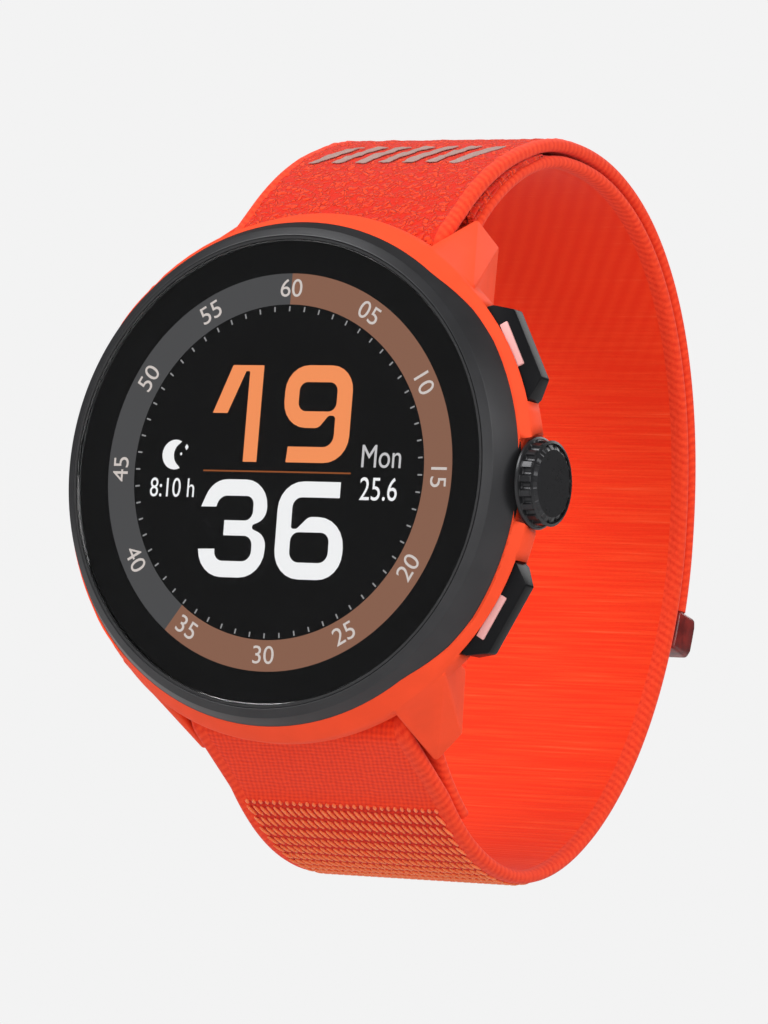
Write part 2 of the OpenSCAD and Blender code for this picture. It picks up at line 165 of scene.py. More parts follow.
class Finish:
    """A procedural material around one Principled shader."""

    def __init__(self, name, **constants):
        self.material = bpy.data.materials.new(name)
        self.material.use_nodes = True
        self.tree = self.material.node_tree
        self.shader = self.tree.nodes["Principled BSDF"]
        for key, value in constants.items():
            socket = self.shader.inputs[key.replace("_", " ")]
            socket.default_value = (*value, 1.0) if isinstance(value, tuple) and len(value) == 3 else value

    def node(self, kind, settings=None, values=(), output=0):
        """Adds a node: its settings first, then the values or links of its sockets."""
        made = self.tree.nodes.new(kind)
        for key, value in (settings or {}).items():
            setattr(made, key, value)
        pairs = values.items() if isinstance(values, dict) else enumerate(values)
        for key, value in pairs:
            self.feed(made.inputs[key], value)
        return Wire(self, made.outputs[output])

    def feed(self, socket, value):
        if isinstance(value, Wire):
            self.tree.links.new(value.socket, socket)
        elif isinstance(value, tuple) and len(value) == 3 and socket.type == "RGBA":
            socket.default_value = (*value, 1.0)
        else:
            socket.default_value = value

    def mix(self, share, first, second):
        """Colour between two colours."""
        made = self.tree.nodes.new("ShaderNodeMix")
        made.data_type = "RGBA"
        self.feed(made.inputs[0], share)
        self.feed(made.inputs[6], first)
        self.feed(made.inputs[7], second)
        return Wire(self, made.outputs[2])

    def place(self):
        """Object coordinates, in millimetres."""
        at = self.node("ShaderNodeTexCoord", output=3)
        return self.node("ShaderNodeVectorMath", {"operation": "SCALE"}, {"Vector": at, "Scale": 1 / MM})

    def cloth(self):
        """The piece's own UV map: along the strap and across it, in millimetres."""
        at = self.node("ShaderNodeUVMap", {"uv_map": "weave"})
        return self.node("ShaderNodeVectorMath", {"operation": "SCALE"}, {"Vector": at, "Scale": 1 / MM})

    def parts(self, vector):
        """The three numbers of a vector."""
        split = self.tree.nodes.new("ShaderNodeSeparateXYZ")
        self.feed(split.inputs[0], vector)
        return [Wire(self, socket) for socket in split.outputs]

    def noise(self, vector, scale, detail=3.0, rough=0.5):
        return self.node("ShaderNodeTexNoise", {}, {
            "Vector": vector, "Scale": scale, "Detail": detail, "Roughness": rough})

    def cells(self, vector, scale, feature="F1"):
        return self.node("ShaderNodeTexVoronoi", {"feature": feature}, {"Vector": vector, "Scale": scale})

    def stretch(self, vector, x, y, z):
        return self.node("ShaderNodeVectorMath", {"operation": "MULTIPLY"}, {0: vector, 1: (x, y, z)})

    def set(self, **values):
        for key, value in values.items():
            self.feed(self.shader.inputs[key.replace("_", " ")], value)

    def bump(self, height, depth):
        """Feeds the shader's normal from a height from 0 to 1, whose full depth is in millimetres."""
        values = {"Height": height, "Distance": depth * MM, "Strength": 1.0}
        self.set(Normal=self.node("ShaderNodeBump", {}, values))


def moulded(name, colour, rough=0.5, grain=0.012, shade=0.08, **constants):
    """Moulded plastic: fine spark-eroded grain, slight flow marks in colour and gloss."""
    f = Finish(name, **constants)
    at = f.place()
    flow = f.noise(at, 0.35, 2.0)
    grit = f.noise(at, 9.0, 4.0, 0.7)
    dark = tuple(c * (1 - shade) for c in colour)
    light = tuple(min(1.0, c * (1 + shade)) for c in colour)
    f.set(Base_Color=f.mix(flow.over(0.3, 0.7), dark, light))
    f.set(Roughness=rough + (grit - 0.5) * 0.14)
    f.bump(grit, grain)
    return f.material


def metal(name, colour, rough=0.3, axis=(1, 8, 8), grain=0.004, amount=1.0):
    """Turned or brushed metal: fine lines along one axis, with faint smears."""
    f = Finish(name, Metallic=amount)
    at = f.place()
    lines = f.noise(f.stretch(at, *axis), 3.0, 5.0, 0.7)
    smear = f.noise(at, 0.5, 2.0)
    dark = tuple(c * 0.82 for c in colour)
    f.set(Base_Color=f.mix(lines.over(0.3, 0.7), dark, colour))
    f.set(Roughness=rough + (lines - 0.5) * 0.16 + (smear - 0.5) * 0.1)
    f.bump(lines, grain)
    return f.material


def rubber(name, colour=(0.012, 0.012, 0.013)):
    """Seal rubber: dull, dusty and faintly mottled."""
    f = Finish(name)
    at = f.place()
    dust = f.noise(at, 4.0, 4.0, 0.6)
    f.set(Base_Color=f.mix(dust.over(0.45, 0.75), colour, tuple(c * 2.2 for c in colour)))
    f.set(Roughness=0.62 + dust * 0.25)
    f.bump(dust, 0.02)
    return f.material


def bezel_coating(colour):
    """Black coated metal, turned: rings of very fine tool marks round the dial's axis."""
    f = Finish("bezel_coating", Metallic=0.35, Specular_IOR_Level=0.5)
    at = f.place()
    x, _, z = f.parts(at)
    radius = (x * x + z * z) ** 0.5
    rings = f.node("ShaderNodeTexNoise", {"noise_dimensions": "1D"}, {
        "W": radius * 9.0, "Detail": 3.0, "Scale": 1.0})
    cloud = f.noise(at, 0.4, 2.0)
    f.set(Base_Color=f.mix(cloud.over(0.3, 0.7), tuple(c * 0.85 for c in colour), colour))
    f.set(Roughness=0.36 + (rings - 0.5) * 0.12)
    f.bump(rings, 0.0015)
    return f.material


def cover_glass_finish():
    """Clear glass with a faint film of smears in its gloss."""
    f = Finish("clear_glass", Transmission_Weight=1.0, IOR=1.5, Base_Color=(0.96, 0.97, 0.98),
               Specular_IOR_Level=0.5)
    at = f.place()
    film = f.noise(f.stretch(at, 1, 1, 2.5), 0.25, 3.0)
    f.set(Roughness=film * 0.008)
    f.bump(film, 0.0002)
    return f.material


def screen_black(name="screen_black"):
    """Unlit screen: near black, with its dot grid as faint gloss and colour changes."""
    f = Finish(name, Specular_IOR_Level=0.02)
    at = f.place()
    x, _, z = f.parts(at)
    grid = ((x * 45.0).sine() * (z * 45.0).sine()).over(-0.2, 0.6)
    cloud = f.noise(at, 0.2, 1.0)
    f.set(Base_Color=f.mix(grid, (0.0042, 0.0042, 0.0046), (0.0048, 0.0048, 0.0053)))
    f.set(Roughness=0.3 + cloud * 0.1)
    f.bump(cloud, 0.001)
    return f.material


def lit(name, colour, power=1.0):
    """Lit screen colour: emission with the dot grid in its strength."""
    f = Finish(name, Base_Color=(0.0, 0.0, 0.0), Specular_IOR_Level=0.0, Emission_Strength=power, Roughness=0.5)
    at = f.place()
    x, _, z = f.parts(at)
    grid = ((x * 45.0).sine() * (z * 45.0).sine()).over(-0.9, 0.1)
    f.set(Emission_Color=f.mix(grid, tuple(c * 0.98 for c in colour), colour))
    return f.material


def strap_pile(colour, deep):
    """Loop pile: crowded yarn loops, with painted shade in the hollows between them."""
    f = Finish("strap_pile", Sheen_Weight=0.08, Sheen_Roughness=0.5, Specular_IOR_Level=0.25)
    at = f.cloth()
    bend = f.node("ShaderNodeVectorMath", {"operation": "ADD"}, {
        0: at, 1: f.node("ShaderNodeVectorMath", {"operation": "SCALE"}, {
            "Vector": f.node("ShaderNodeTexNoise", {}, {"Vector": at, "Scale": 1.1, "Detail": 2.0}, 1),
            "Scale": 1.6})})
    loops = 1 - f.cells(bend, 1.9, "F1").over(0.05, 0.75)
    curls = f.noise(f.stretch(at, 1.0, 1.4, 1.0), 3.6, 3.0, 0.65)
    yarn = (loops * 0.65 + curls * 0.45).over(0.15, 0.85)
    # Painted shade: the deep colour fills the low places between the loops, following the relief
    f.set(Base_Color=f.mix(yarn, deep, colour))
    f.set(Roughness=0.78 + curls * 0.2)
    f.bump(yarn, 0.2)
    return f.material


def strap_weave(name, colour, deep):
    """Flat plain weave, threads crossing at a slant near the sewn end; darker where its relief is low, partly
    random mottling and partly painted shade in the hollows between threads.
    """
    f = Finish(name, Sheen_Weight=0.08, Sheen_Roughness=0.5, Specular_IOR_Level=0.25)
    at = f.cloth()
    along, across, _ = f.parts(at)
    wander = f.noise(at, 0.5, 2.0)
    warp = (across * 14.0 + along * 4.0 + wander * 5.0).sine() * 0.5 + 0.5
    weft = (along * 13.0 + wander * 6.0).sine() * 0.5 + 0.5
    mottled = f.noise(f.stretch(at, 2.2, 1.0, 1.0), 1.5, 4.0, 0.7)
    height = warp * 0.22 + weft * 0.22 + mottled * 0.8
    # Colour follows the relief: random mottling, with painted shade in the low places between threads
    f.set(Base_Color=f.mix(height.over(0.2, 0.95), deep, colour))
    f.set(Roughness=0.75 + mottled * 0.2)
    f.bump(height, 0.06)
    return f.material


def strap_lining(colour, deep, light, top_from, top_to):
    """Inner face: broad slanted ribs near the top of the loop, fine weft lines elsewhere; painted shade in their
    hollows and a painted highlight on the raised weft lines.
    """
    f = Finish("strap_lining", Sheen_Weight=0.08, Sheen_Roughness=0.45, Specular_IOR_Level=0.2)
    at = f.cloth()
    along, across, _ = f.parts(at)
    wander = f.noise(at, 0.22, 2.0)
    ribs = ((across - along * 0.6) * 3.9 + wander * 2.5).sine() * 0.5 + 0.5
    lines = f.node("ShaderNodeTexNoise", {}, {
        "Vector": f.stretch(at, 3.4, 0.07, 1.0), "Scale": 1.0, "Detail": 3.0, "Roughness": 0.6})
    fuzz = f.noise(at, 3.0, 4.0, 0.7)
    slant = along.over(top_from, top_to)
    height = ribs * slant * 0.3 + lines.over(0.35, 0.7) * (1.15 - slant) * 0.5 + fuzz * 0.5
    # Colour follows the relief: painted shade in the hollows of ribs and lines, a painted highlight (the light
    # colour) on the raised weft lines, random tone from the fuzz
    f.set(Base_Color=f.mix(height.over(0.1, 1.0), deep, f.mix(lines.over(0.6, 0.8), colour, light)))
    f.set(Roughness=0.72 + fuzz * 0.25)
    f.bump(height, 0.04)
    return f.material


def strap_edge(colour, deep):
    """Selvedge: tight cord of yarn along both edges; darker where its relief is low, partly random fuzz and partly
    painted shade in the twist's hollows.
    """
    f = Finish("strap_edge", Sheen_Weight=0.08, Sheen_Roughness=0.45, Specular_IOR_Level=0.25)
    at = f.cloth()
    along, across, _ = f.parts(at)
    twist = ((along * 8.5) + across * 5.0).sine() * 0.5 + 0.5
    fuzz = f.noise(at, 2.8, 4.0, 0.7)
    f.set(Base_Color=f.mix((twist * 0.2 + fuzz * 0.8).over(0.1, 0.8), deep, colour))
    f.set(Roughness=0.78 + fuzz * 0.2)
    f.bump(twist * 0.2 + fuzz * 0.5, 0.025)
    return f.material


def yarn(name, colour, dark):
    """Stitching yarn: two plies with a soft sheen."""
    f = Finish(name, Sheen_Weight=0.4, Sheen_Roughness=0.4, Specular_IOR_Level=0.3)
    at = f.place()
    plies = f.noise(f.stretch(at, 6.0, 2.0, 2.0), 2.0, 3.0, 0.6)
    f.set(Base_Color=f.mix(plies.over(0.3, 0.7), dark, colour))
    f.set(Roughness=0.6 + plies * 0.25)
    f.bump(plies, 0.03)
    return f.material


def reflective_print(colour):
    """Reflective transfer: grey film with fine glass beads."""
    f = Finish("reflective_print", Specular_IOR_Level=0.5)
    at = f.cloth()
    beads = f.cells(at, 9.0)
    worn = f.noise(at, 1.2, 4.0, 0.7)
    f.set(Base_Color=f.mix(beads.over(0.1, 0.7), colour, tuple(c * 0.8 for c in colour)))
    f.set(Roughness=0.38 + worn * 0.3)
    f.bump(1 - beads, 0.02)
    return f.material


def hook_tape(colour):
    """Moulded hook tape: low ribs of hooks, smooth between."""
    f = Finish("hook_tape", Specular_IOR_Level=0.5)
    at = f.cloth()
    _, across, _ = f.parts(at)
    ribs = (across * 7.0).sine() * 0.5 + 0.5
    fuzz = f.noise(at, 2.5, 3.0)
    f.set(Base_Color=f.mix(ribs.over(0.2, 0.8), tuple(c * 0.7 for c in colour), colour))
    f.set(Roughness=0.4 + fuzz * 0.2)
    f.bump(ribs * 0.8 + fuzz * 0.2, 0.08)
    return f.material


def clear_red():
    """Clear red moulded polymer of the end tab, denser in its middle."""
    f = Finish("clear_red", IOR=1.45, Transmission_Weight=0.35, Coat_Weight=0.3, Coat_Roughness=0.2)
    at = f.place()
    cloud = f.noise(at, 0.9, 3.0)
    f.set(Base_Color=f.mix(cloud.over(0.3, 0.7), srgb(110, 12, 8), srgb(160, 30, 18)))
    f.set(Roughness=0.28 + cloud * 0.12)
    f.bump(f.noise(at, 6.0, 3.0), 0.01)
    return f.material


def circuit_board(name, colour):
    """Solder mask over copper tracks."""
    f = Finish(name, Specular_IOR_Level=0.6)
    at = f.place()
    x, _, z = f.parts(at)
    tracks = f.node("ShaderNodeTexBrick", {"offset": 0.37}, {
        "Vector": f.node("ShaderNodeCombineXYZ", {}, (x, z, 0.0)), "Scale": 0.9,
        "Mortar Size": 0.03, "Color1": (1.0, 1.0, 1.0), "Color2": (0.6, 0.6, 0.6), "Mortar": (0.0, 0.0, 0.0)})
    f.set(Base_Color=f.mix(tracks, tuple(c * 1.9 for c in colour), colour))
    f.set(Roughness=0.3 + f.noise(at, 2.0) * 0.15)
    f.bump(tracks, 0.02)
    return f.material


def sensor_cover():
    """Dark glass-like sensor window that lets the lights behind it glimmer."""
    f = Finish("sensor_cover", Specular_IOR_Level=0.6, Coat_Weight=0.4, Coat_Roughness=0.05)
    at = f.place()
    x, _, z = f.parts(at)
    radius = (x * x + z * z) ** 0.5
    ring = radius.over(2.6, 2.7) * (1 - radius.over(3.0, 3.1))
    ports = radius.over(4.1, 4.3) * (1 - radius.over(6.9, 7.1))
    inside = f.mix(ports * 0.5, srgb(9, 9, 10), srgb(26, 24, 30))
    f.set(Base_Color=f.mix(ring * 0.7, inside, srgb(60, 60, 64)))
    f.set(Roughness=0.1 + f.noise(at, 0.8, 3.0).over(0.5, 0.8) * 0.15)
    f.bump(f.noise(at, 1.5, 2.0), 0.002)
    return f.material


def floor_paint(colour):
    """Matt pale studio floor with faint mottling."""
    f = Finish("floor_paint", Specular_IOR_Level=0.1)
    at = f.place()
    mottled = f.noise(at, 0.01, 3.0)
    f.set(Base_Color=f.mix(mottled, tuple(c * 0.985 for c in colour), colour))
    f.set(Roughness=0.9 + mottled * 0.05)
    return f.material


# ---------------------------------------------------------------- shapes


def rounded(corners, steps=6):
    """Closed outline through (x, y, radius) corners, with an arc at each corner that has a radius."""
    outline = []
    for i, (x, y, radius) in enumerate(corners):
        here = Vector((x, y, 0))
        if radius == 0:
            outline.append((x, y))
            continue
        back = (Vector((*corners[i - 1][:2], 0)) - here).normalized()
        ahead = (Vector((*corners[(i + 1) % len(corners)][:2], 0)) - here).normalized()
        half = back.angle(ahead) / 2
        centre = here + (back + ahead).normalized() * (radius / math.sin(half))
        start = here + back * (radius / math.tan(half)) - centre
        end = here + ahead * (radius / math.tan(half)) - centre
        for k in range(steps + 1):
            point = centre + start.slerp(end, k / steps).normalized() * radius
            outline.append((point.x, point.y))
    return outline


def loop(bm, points):
    """A closed chain of edges through the points."""
    verts = [bm.verts.new(p) for p in points]
    return [bm.edges.new((verts[i - 1], verts[i])) for i in range(len(verts))]


def lathe(outline, axis, centre=(0, 0, 0), steps=256, closed=True):
    """Spins an outline of (radius, place along the axis) round X or Y. Open outlines start and end on the axis."""
    bm = bmesh.new()
    if axis == "Y":
        points = [Vector((r, a, 0)) + Vector(centre) for r, a in outline]
    else:
        points = [Vector((a, 0, r)) + Vector(centre) for r, a in outline]
    verts = [bm.verts.new(p) for p in points]
    pairs = zip(verts, verts[1:] + (verts[:1] if closed else []))
    edges = [bm.edges.new(pair) for pair in pairs]
    turn = Vector((0, 1, 0)) if axis == "Y" else Vector((1, 0, 0))
    bmesh.ops.spin(bm, geom=verts + edges, cent=centre, axis=turn, angle=math.tau, steps=steps, use_merge=True)
    bmesh.ops.remove_doubles(bm, verts=bm.verts, dist=1e-8)
    bmesh.ops.recalc_face_normals(bm, faces=bm.faces)
    return bm


def flat_figure(outlines, y, thick):
    """Thin plate in the dial's plane, from closed outlines of (x, z) in millimetres; inner ones are holes."""
    bm = bmesh.new()
    edges = []
    for outline in outlines:
        edges += loop(bm, [(px, 0, pz) for px, pz in outline])
    bmesh.ops.triangle_fill(bm, use_beauty=True, use_dissolve=False, edges=edges, normal=(0, -1, 0))
    bmesh.ops.scale(bm, vec=(MM, MM, MM), verts=bm.verts)
    bmesh.ops.translate(bm, vec=(0, y, 0), verts=bm.verts)
    extrude(bm, (0, -thick, 0))
    return bm


def extrude(bm, move):
    """Extrudes every face by a vector, as one region."""
    grown = bmesh.ops.extrude_face_region(bm, geom=bm.faces[:])
    verts = [g for g in grown["geom"] if isinstance(g, bmesh.types.BMVert)]
    bmesh.ops.translate(bm, vec=move, verts=verts)
    bmesh.ops.recalc_face_normals(bm, faces=bm.faces)


def soften(bm, edges, radius, segments):
    """Rounds edges with a radius in millimetres."""
    bmesh.ops.bevel(bm, geom=edges, offset=radius * MM, offset_type="OFFSET", affect="EDGES", segments=segments,
                    profile=0.5, material=-1, clamp_overlap=True)


def put_in_scene(name, data):
    made = bpy.data.objects.new(name, data)
    bpy.context.scene.collection.objects.link(made)
    return made


def words(bm, text, size, x, z, turn, squeeze):
    """Adds flat outline lettering of the built-in face, centred at (x, z) millimetres in the dial's plane."""
    curve = bpy.data.curves.new("words", "FONT")
    curve.body = text
    curve.size = size * MM
    curve.align_x = "CENTER"
    curve.align_y = "CENTER"
    holder = put_in_scene("words", curve)
    bpy.context.view_layer.update()
    shown = holder.evaluated_get(bpy.context.evaluated_depsgraph_get())
    mesh = bpy.data.meshes.new_from_object(shown)
    bpy.data.objects.remove(holder)
    bpy.data.curves.remove(curve)
    lift = Matrix.Translation((x * MM, 0, z * MM)) @ Matrix.Rotation(turn, 4, "Y")
    stand = Matrix.Rotation(math.pi / 2, 4, "X") @ Matrix.Diagonal((squeeze, 1, 1, 1))
    mesh.transform(lift @ stand)
    bm.from_mesh(mesh)
    bpy.data.meshes.remove(mesh)


def piece(name, bm, finishes, body, replaces=(), sharp=30.0):
    """Turns a bmesh into a named piece that rides on a CAD body."""
    if bm.calc_volume(signed=True) < 0:
        bmesh.ops.reverse_faces(bm, faces=bm.faces[:])
    mesh = bpy.data.meshes.new(name)
    bm.to_mesh(mesh)
    bm.free()
    for finish in finishes if isinstance(finishes, (list, tuple)) else [finishes]:
        mesh.materials.append(finish)
    mesh.shade_smooth()
    mesh.set_sharp_from_angle(angle=math.radians(sharp))
    made = put_in_scene(name, mesh)
    if body is not None:
        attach(made, body)
    if replaces:
        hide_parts(*replaces)
    return made


def dress(finish, *nodes):
    """Gives CAD nodes a finish."""
    for name in nodes:
        NODES[name].data.materials.clear()
        NODES[name].data.materials.append(finish)


# ---------------------------------------------------------------- the strap's course


def signed_power(value, exponent):
    return math.copysign(abs(value) ** exponent, value)


class Course:
    """Middle line of one strap layer, seen from the crown side as (Y, Z) in millimetres, at even steps."""

    def __init__(self, points, outward, step=0.3, passes=3):
        ahead = [0.0]
        for a, b in zip(points, points[1:]):
            ahead.append(ahead[-1] + math.dist(a, b))
        self.length, self.outward = ahead[-1], outward
        self.count = max(4, round(self.length / step))
        even, i = [], 0
        for k in range(self.count + 1):
            at = self.length * k / self.count
            while i < len(points) - 2 and ahead[i + 1] < at:
                i += 1
            share = (at - ahead[i]) / max(1e-9, ahead[i + 1] - ahead[i])
            even.append(Vector(points[i]).lerp(Vector(points[i + 1]), share))
        for _ in range(passes):
            even = [even[0]] + [
                (even[k - 1] + even[k] * 2 + even[k + 1]) / 4 for k in range(1, self.count)] + [even[-1]]
        self.points = even

    def place(self, along, across, lift):
        """Point of the row frame, in metres, at millimetres along, across and off the middle line."""
        at = min(max(along / self.length, 0.0), 1.0) * self.count
        i = min(int(at), self.count - 1)
        here = self.points[i].lerp(self.points[i + 1], at - i)
        low, high = self.points[max(i - 1, 0)], self.points[min(i + 2, self.count)]
        run = (high - low).normalized()
        normal = Vector((run.y, -run.x)) * self.outward
        flat = here + normal * lift
        return Vector((across, flat.x, flat.y)) * MM


def strip(course, width, thick, relief, choose, across=72, edge=6, step=0.36):
    """Closed ribbon along a course: rounded selvedges, relief on its faces, its own UV map in metres."""
    bm = bmesh.new()
    along_count, around = max(2, round(course.length / step)), 2 * (across + edge)
    bmesh.ops.create_grid(bm, x_segments=along_count, y_segments=around, size=1.0)
    layer = bm.loops.layers.uv.new("weave")
    half, radius = width / 2 - thick / 2, thick / 2
    place = {}
    for v in bm.verts:
        along = (v.co.x + 1) / 2 * course.length
        k = (v.co.y + 1) / 2 * around % around
        if k <= across:
            x, lift, side = -half + 2 * half * k / across, radius, 1
        elif k <= across + edge:
            turn = math.pi * (k - across) / edge
            x, lift, side = half + radius * math.sin(turn), radius * math.cos(turn), 0
        elif k <= 2 * across + edge:
            x, lift, side = half - 2 * half * (k - across - edge) / across, -radius, -1
        else:
            turn = math.pi * (k - 2 * across - edge) / edge
            x, lift, side = -half - radius * math.sin(turn), -radius * math.cos(turn), 0
        place[v] = (along, x, lift, side)
    for face in bm.faces:
        sides = [place[v][3] for v in face.verts]
        middle = sum(abs(place[v][1]) for v in face.verts) / len(sides)
        along = sum(place[v][0] for v in face.verts) / len(sides)
        side = 0 if 0 in sides and middle > half else max(sides, key=abs)
        face.material_index = choose(side, along, middle)
        for corner in face.loops:
            corner[layer].uv = (place[corner.vert][0] * MM, place[corner.vert][1] * MM)
    for v, (along, x, lift, side) in place.items():
        v.co = course.place(along, x, lift + side * relief(along, x, side))
    bmesh.ops.remove_doubles(bm, verts=bm.verts, dist=1e-7)
    rim = [e for e in bm.edges if e.is_boundary]
    bmesh.ops.holes_fill(bm, edges=rim, sides=0)
    bmesh.ops.recalc_face_normals(bm, faces=bm.faces)
    return bm


def capsules(course, places, length, thick, lean, face):
    """Many short stitches lying on a strap layer, each a stretched low ball along its lean."""
    bm = bmesh.new()
    for along, across in places:
        made = bmesh.ops.create_uvsphere(bm, u_segments=6, v_segments=5, radius=1.0)
        for v in made["verts"]:
            run, side, up = v.co.z * length / 2, v.co.x * thick / 2, v.co.y * thick / 2
            turn = math.radians(lean)
            v.co = course.place(
                along + run * math.cos(turn) - side * math.sin(turn),
                across + run * math.sin(turn) + side * math.cos(turn), face + up)
    bmesh.ops.recalc_face_normals(bm, faces=bm.faces)
    return bm


# ---------------------------------------------------------------- settings


def colour_setting(name, description, colour):
    return bpy.props.FloatVectorProperty(
        name=name, description=description, subtype="COLOR", default=srgb(*colour))


class WatchSettings(bpy.types.PropertyGroup):
    """Colours and sizes of the watch."""

    case_colour: colour_setting("Case", "Colour of the moulded case", (249, 80, 44))
    strap_colour: colour_setting("Strap", "Colour of the strap's yarn", (253, 68, 24))
    # Painted shade colour for the hollows between the pile's loops
    strap_pile_painted_shade: colour_setting("Strap depths", "Colour between the strap's yarns", (216, 34, 8))
    stitch_colour: colour_setting("Stitches", "Colour of the raised stitches", (255, 150, 92))
    bezel_colour: colour_setting("Bezel", "Colour of the bezel and the crown", (52, 52, 54))
    digit_colour: colour_setting("Upper digits", "Colour of the upper digits", (255, 152, 94))
    ring_colour: colour_setting(
        "Run part of the ring", "Colour of the ring's part that has run", (142, 100, 80))
    rest_colour: colour_setting("Rest of the ring", "Colour of the ring's other part", (78, 78, 79))
    strap_thickness: bpy.props.FloatProperty(
        name="Strap thickness", description="Thickness of one layer of the strap", unit="LENGTH",
        default=1.1 * MM, min=0.9 * MM, max=1.2 * MM)
    wrist_height: bpy.props.FloatProperty(
        name="Wrist height", description="Height of the wrist opening", unit="LENGTH", default=61.2 * MM)
    wrist_back: bpy.props.FloatProperty(
        name="Wrist depth", description="Depth of the wrist opening behind its widest line", unit="LENGTH",
        default=25.1 * MM)
    crown_grooves: bpy.props.IntProperty(
        name="Crown grooves", description="Number of grooves round the crown", default=18, min=12, max=24)


class StageSettings(bpy.types.PropertyGroup):
    """Camera and light."""

    azimuth: bpy.props.FloatProperty(
        name="Azimuth", description="Camera's angle round the watch, from the dial's front", subtype="ANGLE",
        default=math.radians(30.388))
    elevation: bpy.props.FloatProperty(
        name="Elevation", description="Camera's angle over the dial's middle", subtype="ANGLE",
        default=math.radians(-5.068))
    roll: bpy.props.FloatProperty(
        name="Roll", description="Camera's turn about its own axis", subtype="ANGLE",
        default=math.radians(4.397))
    distance: bpy.props.FloatProperty(
        name="Distance", description="Camera's distance from the dial", unit="LENGTH", default=0.47607)
    aside: bpy.props.FloatProperty(
        name="Aside", description="Camera's shift to its right", unit="LENGTH", default=0.008997)
    above: bpy.props.FloatProperty(
        name="Above", description="Camera's shift upwards", unit="LENGTH", default=-0.003369)
    lens: bpy.props.FloatProperty(name="Lens", description="Focal length in millimetres", default=200.4)
    floor_height: bpy.props.FloatProperty(
        name="Floor height", description="Height of the floor, below the camera's", unit="LENGTH", default=-0.054)
    floor_colour: colour_setting("Floor", "Colour of the floor", (214, 214, 214))


def settings():
    return bpy.context.scene.watch


# ---------------------------------------------------------------- strap pieces

OVAL_MIDDLE = Vector((17.5, -0.5))
OVAL_FRONT = 23.5
LAYER_GAP = 0.35
FOLD_SLACK = 1.35
SLACK_FROM = 108
SLACK_SPAN = 32
TAIL_LAST = -11
BAR_R = 1.05


def oval(t):
    """Point of the wrist's oval at an angle: 0 at the back, 90 at the top, -90 at the bottom, 180 at the front."""
    power = 2 if abs(t) >= 90 else 2.2 if t > 0 else 1.85
    deep = OVAL_FRONT if abs(t) >= 90 else settings().wrist_back / MM
    turn = math.radians(t)
    return OVAL_MIDDLE + Vector((
        deep * signed_power(math.cos(turn), 2 / power),
        settings().wrist_height / MM / 2 * signed_power(math.sin(turn), 2 / power)))


def off_oval(t, lift):
    run = (oval(t + 0.5) - oval(t - 0.5)).normalized()
    return oval(t) + Vector((run.y, -run.x)) * lift


def sweep(first, last, step):
    """Even angles from first to last, both included."""
    count = max(1, round(abs(last - first) / step))
    return [first + (last - first) * k / count for k in range(count + 1)]


def round_bar(bar, first, last):
    """Arc of the strap's middle line round a spring bar."""
    radius = BAR_R + settings().strap_thickness / MM / 2
    middle = Vector((bar.y, bar.z)) / MM
    return [middle + radius * Vector((math.cos(math.radians(a)), math.sin(math.radians(a))))
            for a in sweep(first, last, 6)]


def tail_lift(t):
    thick = settings().strap_thickness / MM
    return thick * 1.5 + LAYER_GAP + FOLD_SLACK * (max(0, t - SLACK_FROM) / SLACK_SPAN) ** 1.2


def band_course():
    """From the sewn flap inside, round the lower bar, round the wrist and under the upper bar."""
    thick = settings().strap_thickness / MM
    flap = [off_oval(t, -thick / 2 - 0.12) for t in sweep(-118, -130, 2)]
    wrist = [off_oval(t, thick / 2) for t in sweep(-126, 134, 2)]
    return Course(flap + round_bar(LOWER_BAR, 32, 232) + wrist + round_bar(UPPER_BAR, -33, -143), 1)


def tail_course():
    """From the front of the upper bar over it and back along the band, as far as the end tab."""
    back = [off_oval(t, tail_lift(t)) for t in sweep(134, TAIL_LAST, 2)]
    return Course(round_bar(UPPER_BAR, 217, 147) + back, -1)


def pile(along, x):
    """Height of the loop pile, in millimetres."""
    at = Vector((along * 1.15, x * 1.15, 0))
    return 0.11 * noise.noise(at) + 0.05 * noise.noise(at * 2.1)


def selvedge(x, half):
    """Raised cord along both edges, with a shallow groove beside it."""
    inside = half - abs(x)
    return 0.05 * math.exp(-((inside - 0.4) / 0.5) ** 2) - 0.07 * math.exp(-((inside - 1.45) / 0.22) ** 2)


def strap_finishes():
    s = settings()
    yarn_colour, deep = tuple(s.strap_colour), tuple(s.strap_pile_painted_shade)
    # Lighter colour for the lining's raised weft lines: a painted highlight
    light = srgb(255, 100, 60)
    return [
        strap_pile(yarn_colour, deep),
        strap_edge(srgb(252, 78, 40), srgb(225, 40, 14)),
        strap_lining(srgb(252, 72, 28), srgb(244, 52, 16), light, 96, 112),
        strap_weave("strap_weave", yarn_colour, srgb(222, 40, 12)),
        # Painted shade: a darker copy of the weave for the ground between the raised stitches
        strap_weave("stitch_ground_painted_shade", srgb(226, 44, 14), srgb(178, 20, 5)),
    ]


# The last finish is the weave with painted shade, for the ground between the stitches
PILE, EDGE, LINING, WEAVE, SHADED_GROUND = range(5)
BAND_WEAVE_END = 26.0
BAND_STITCH_END = 52


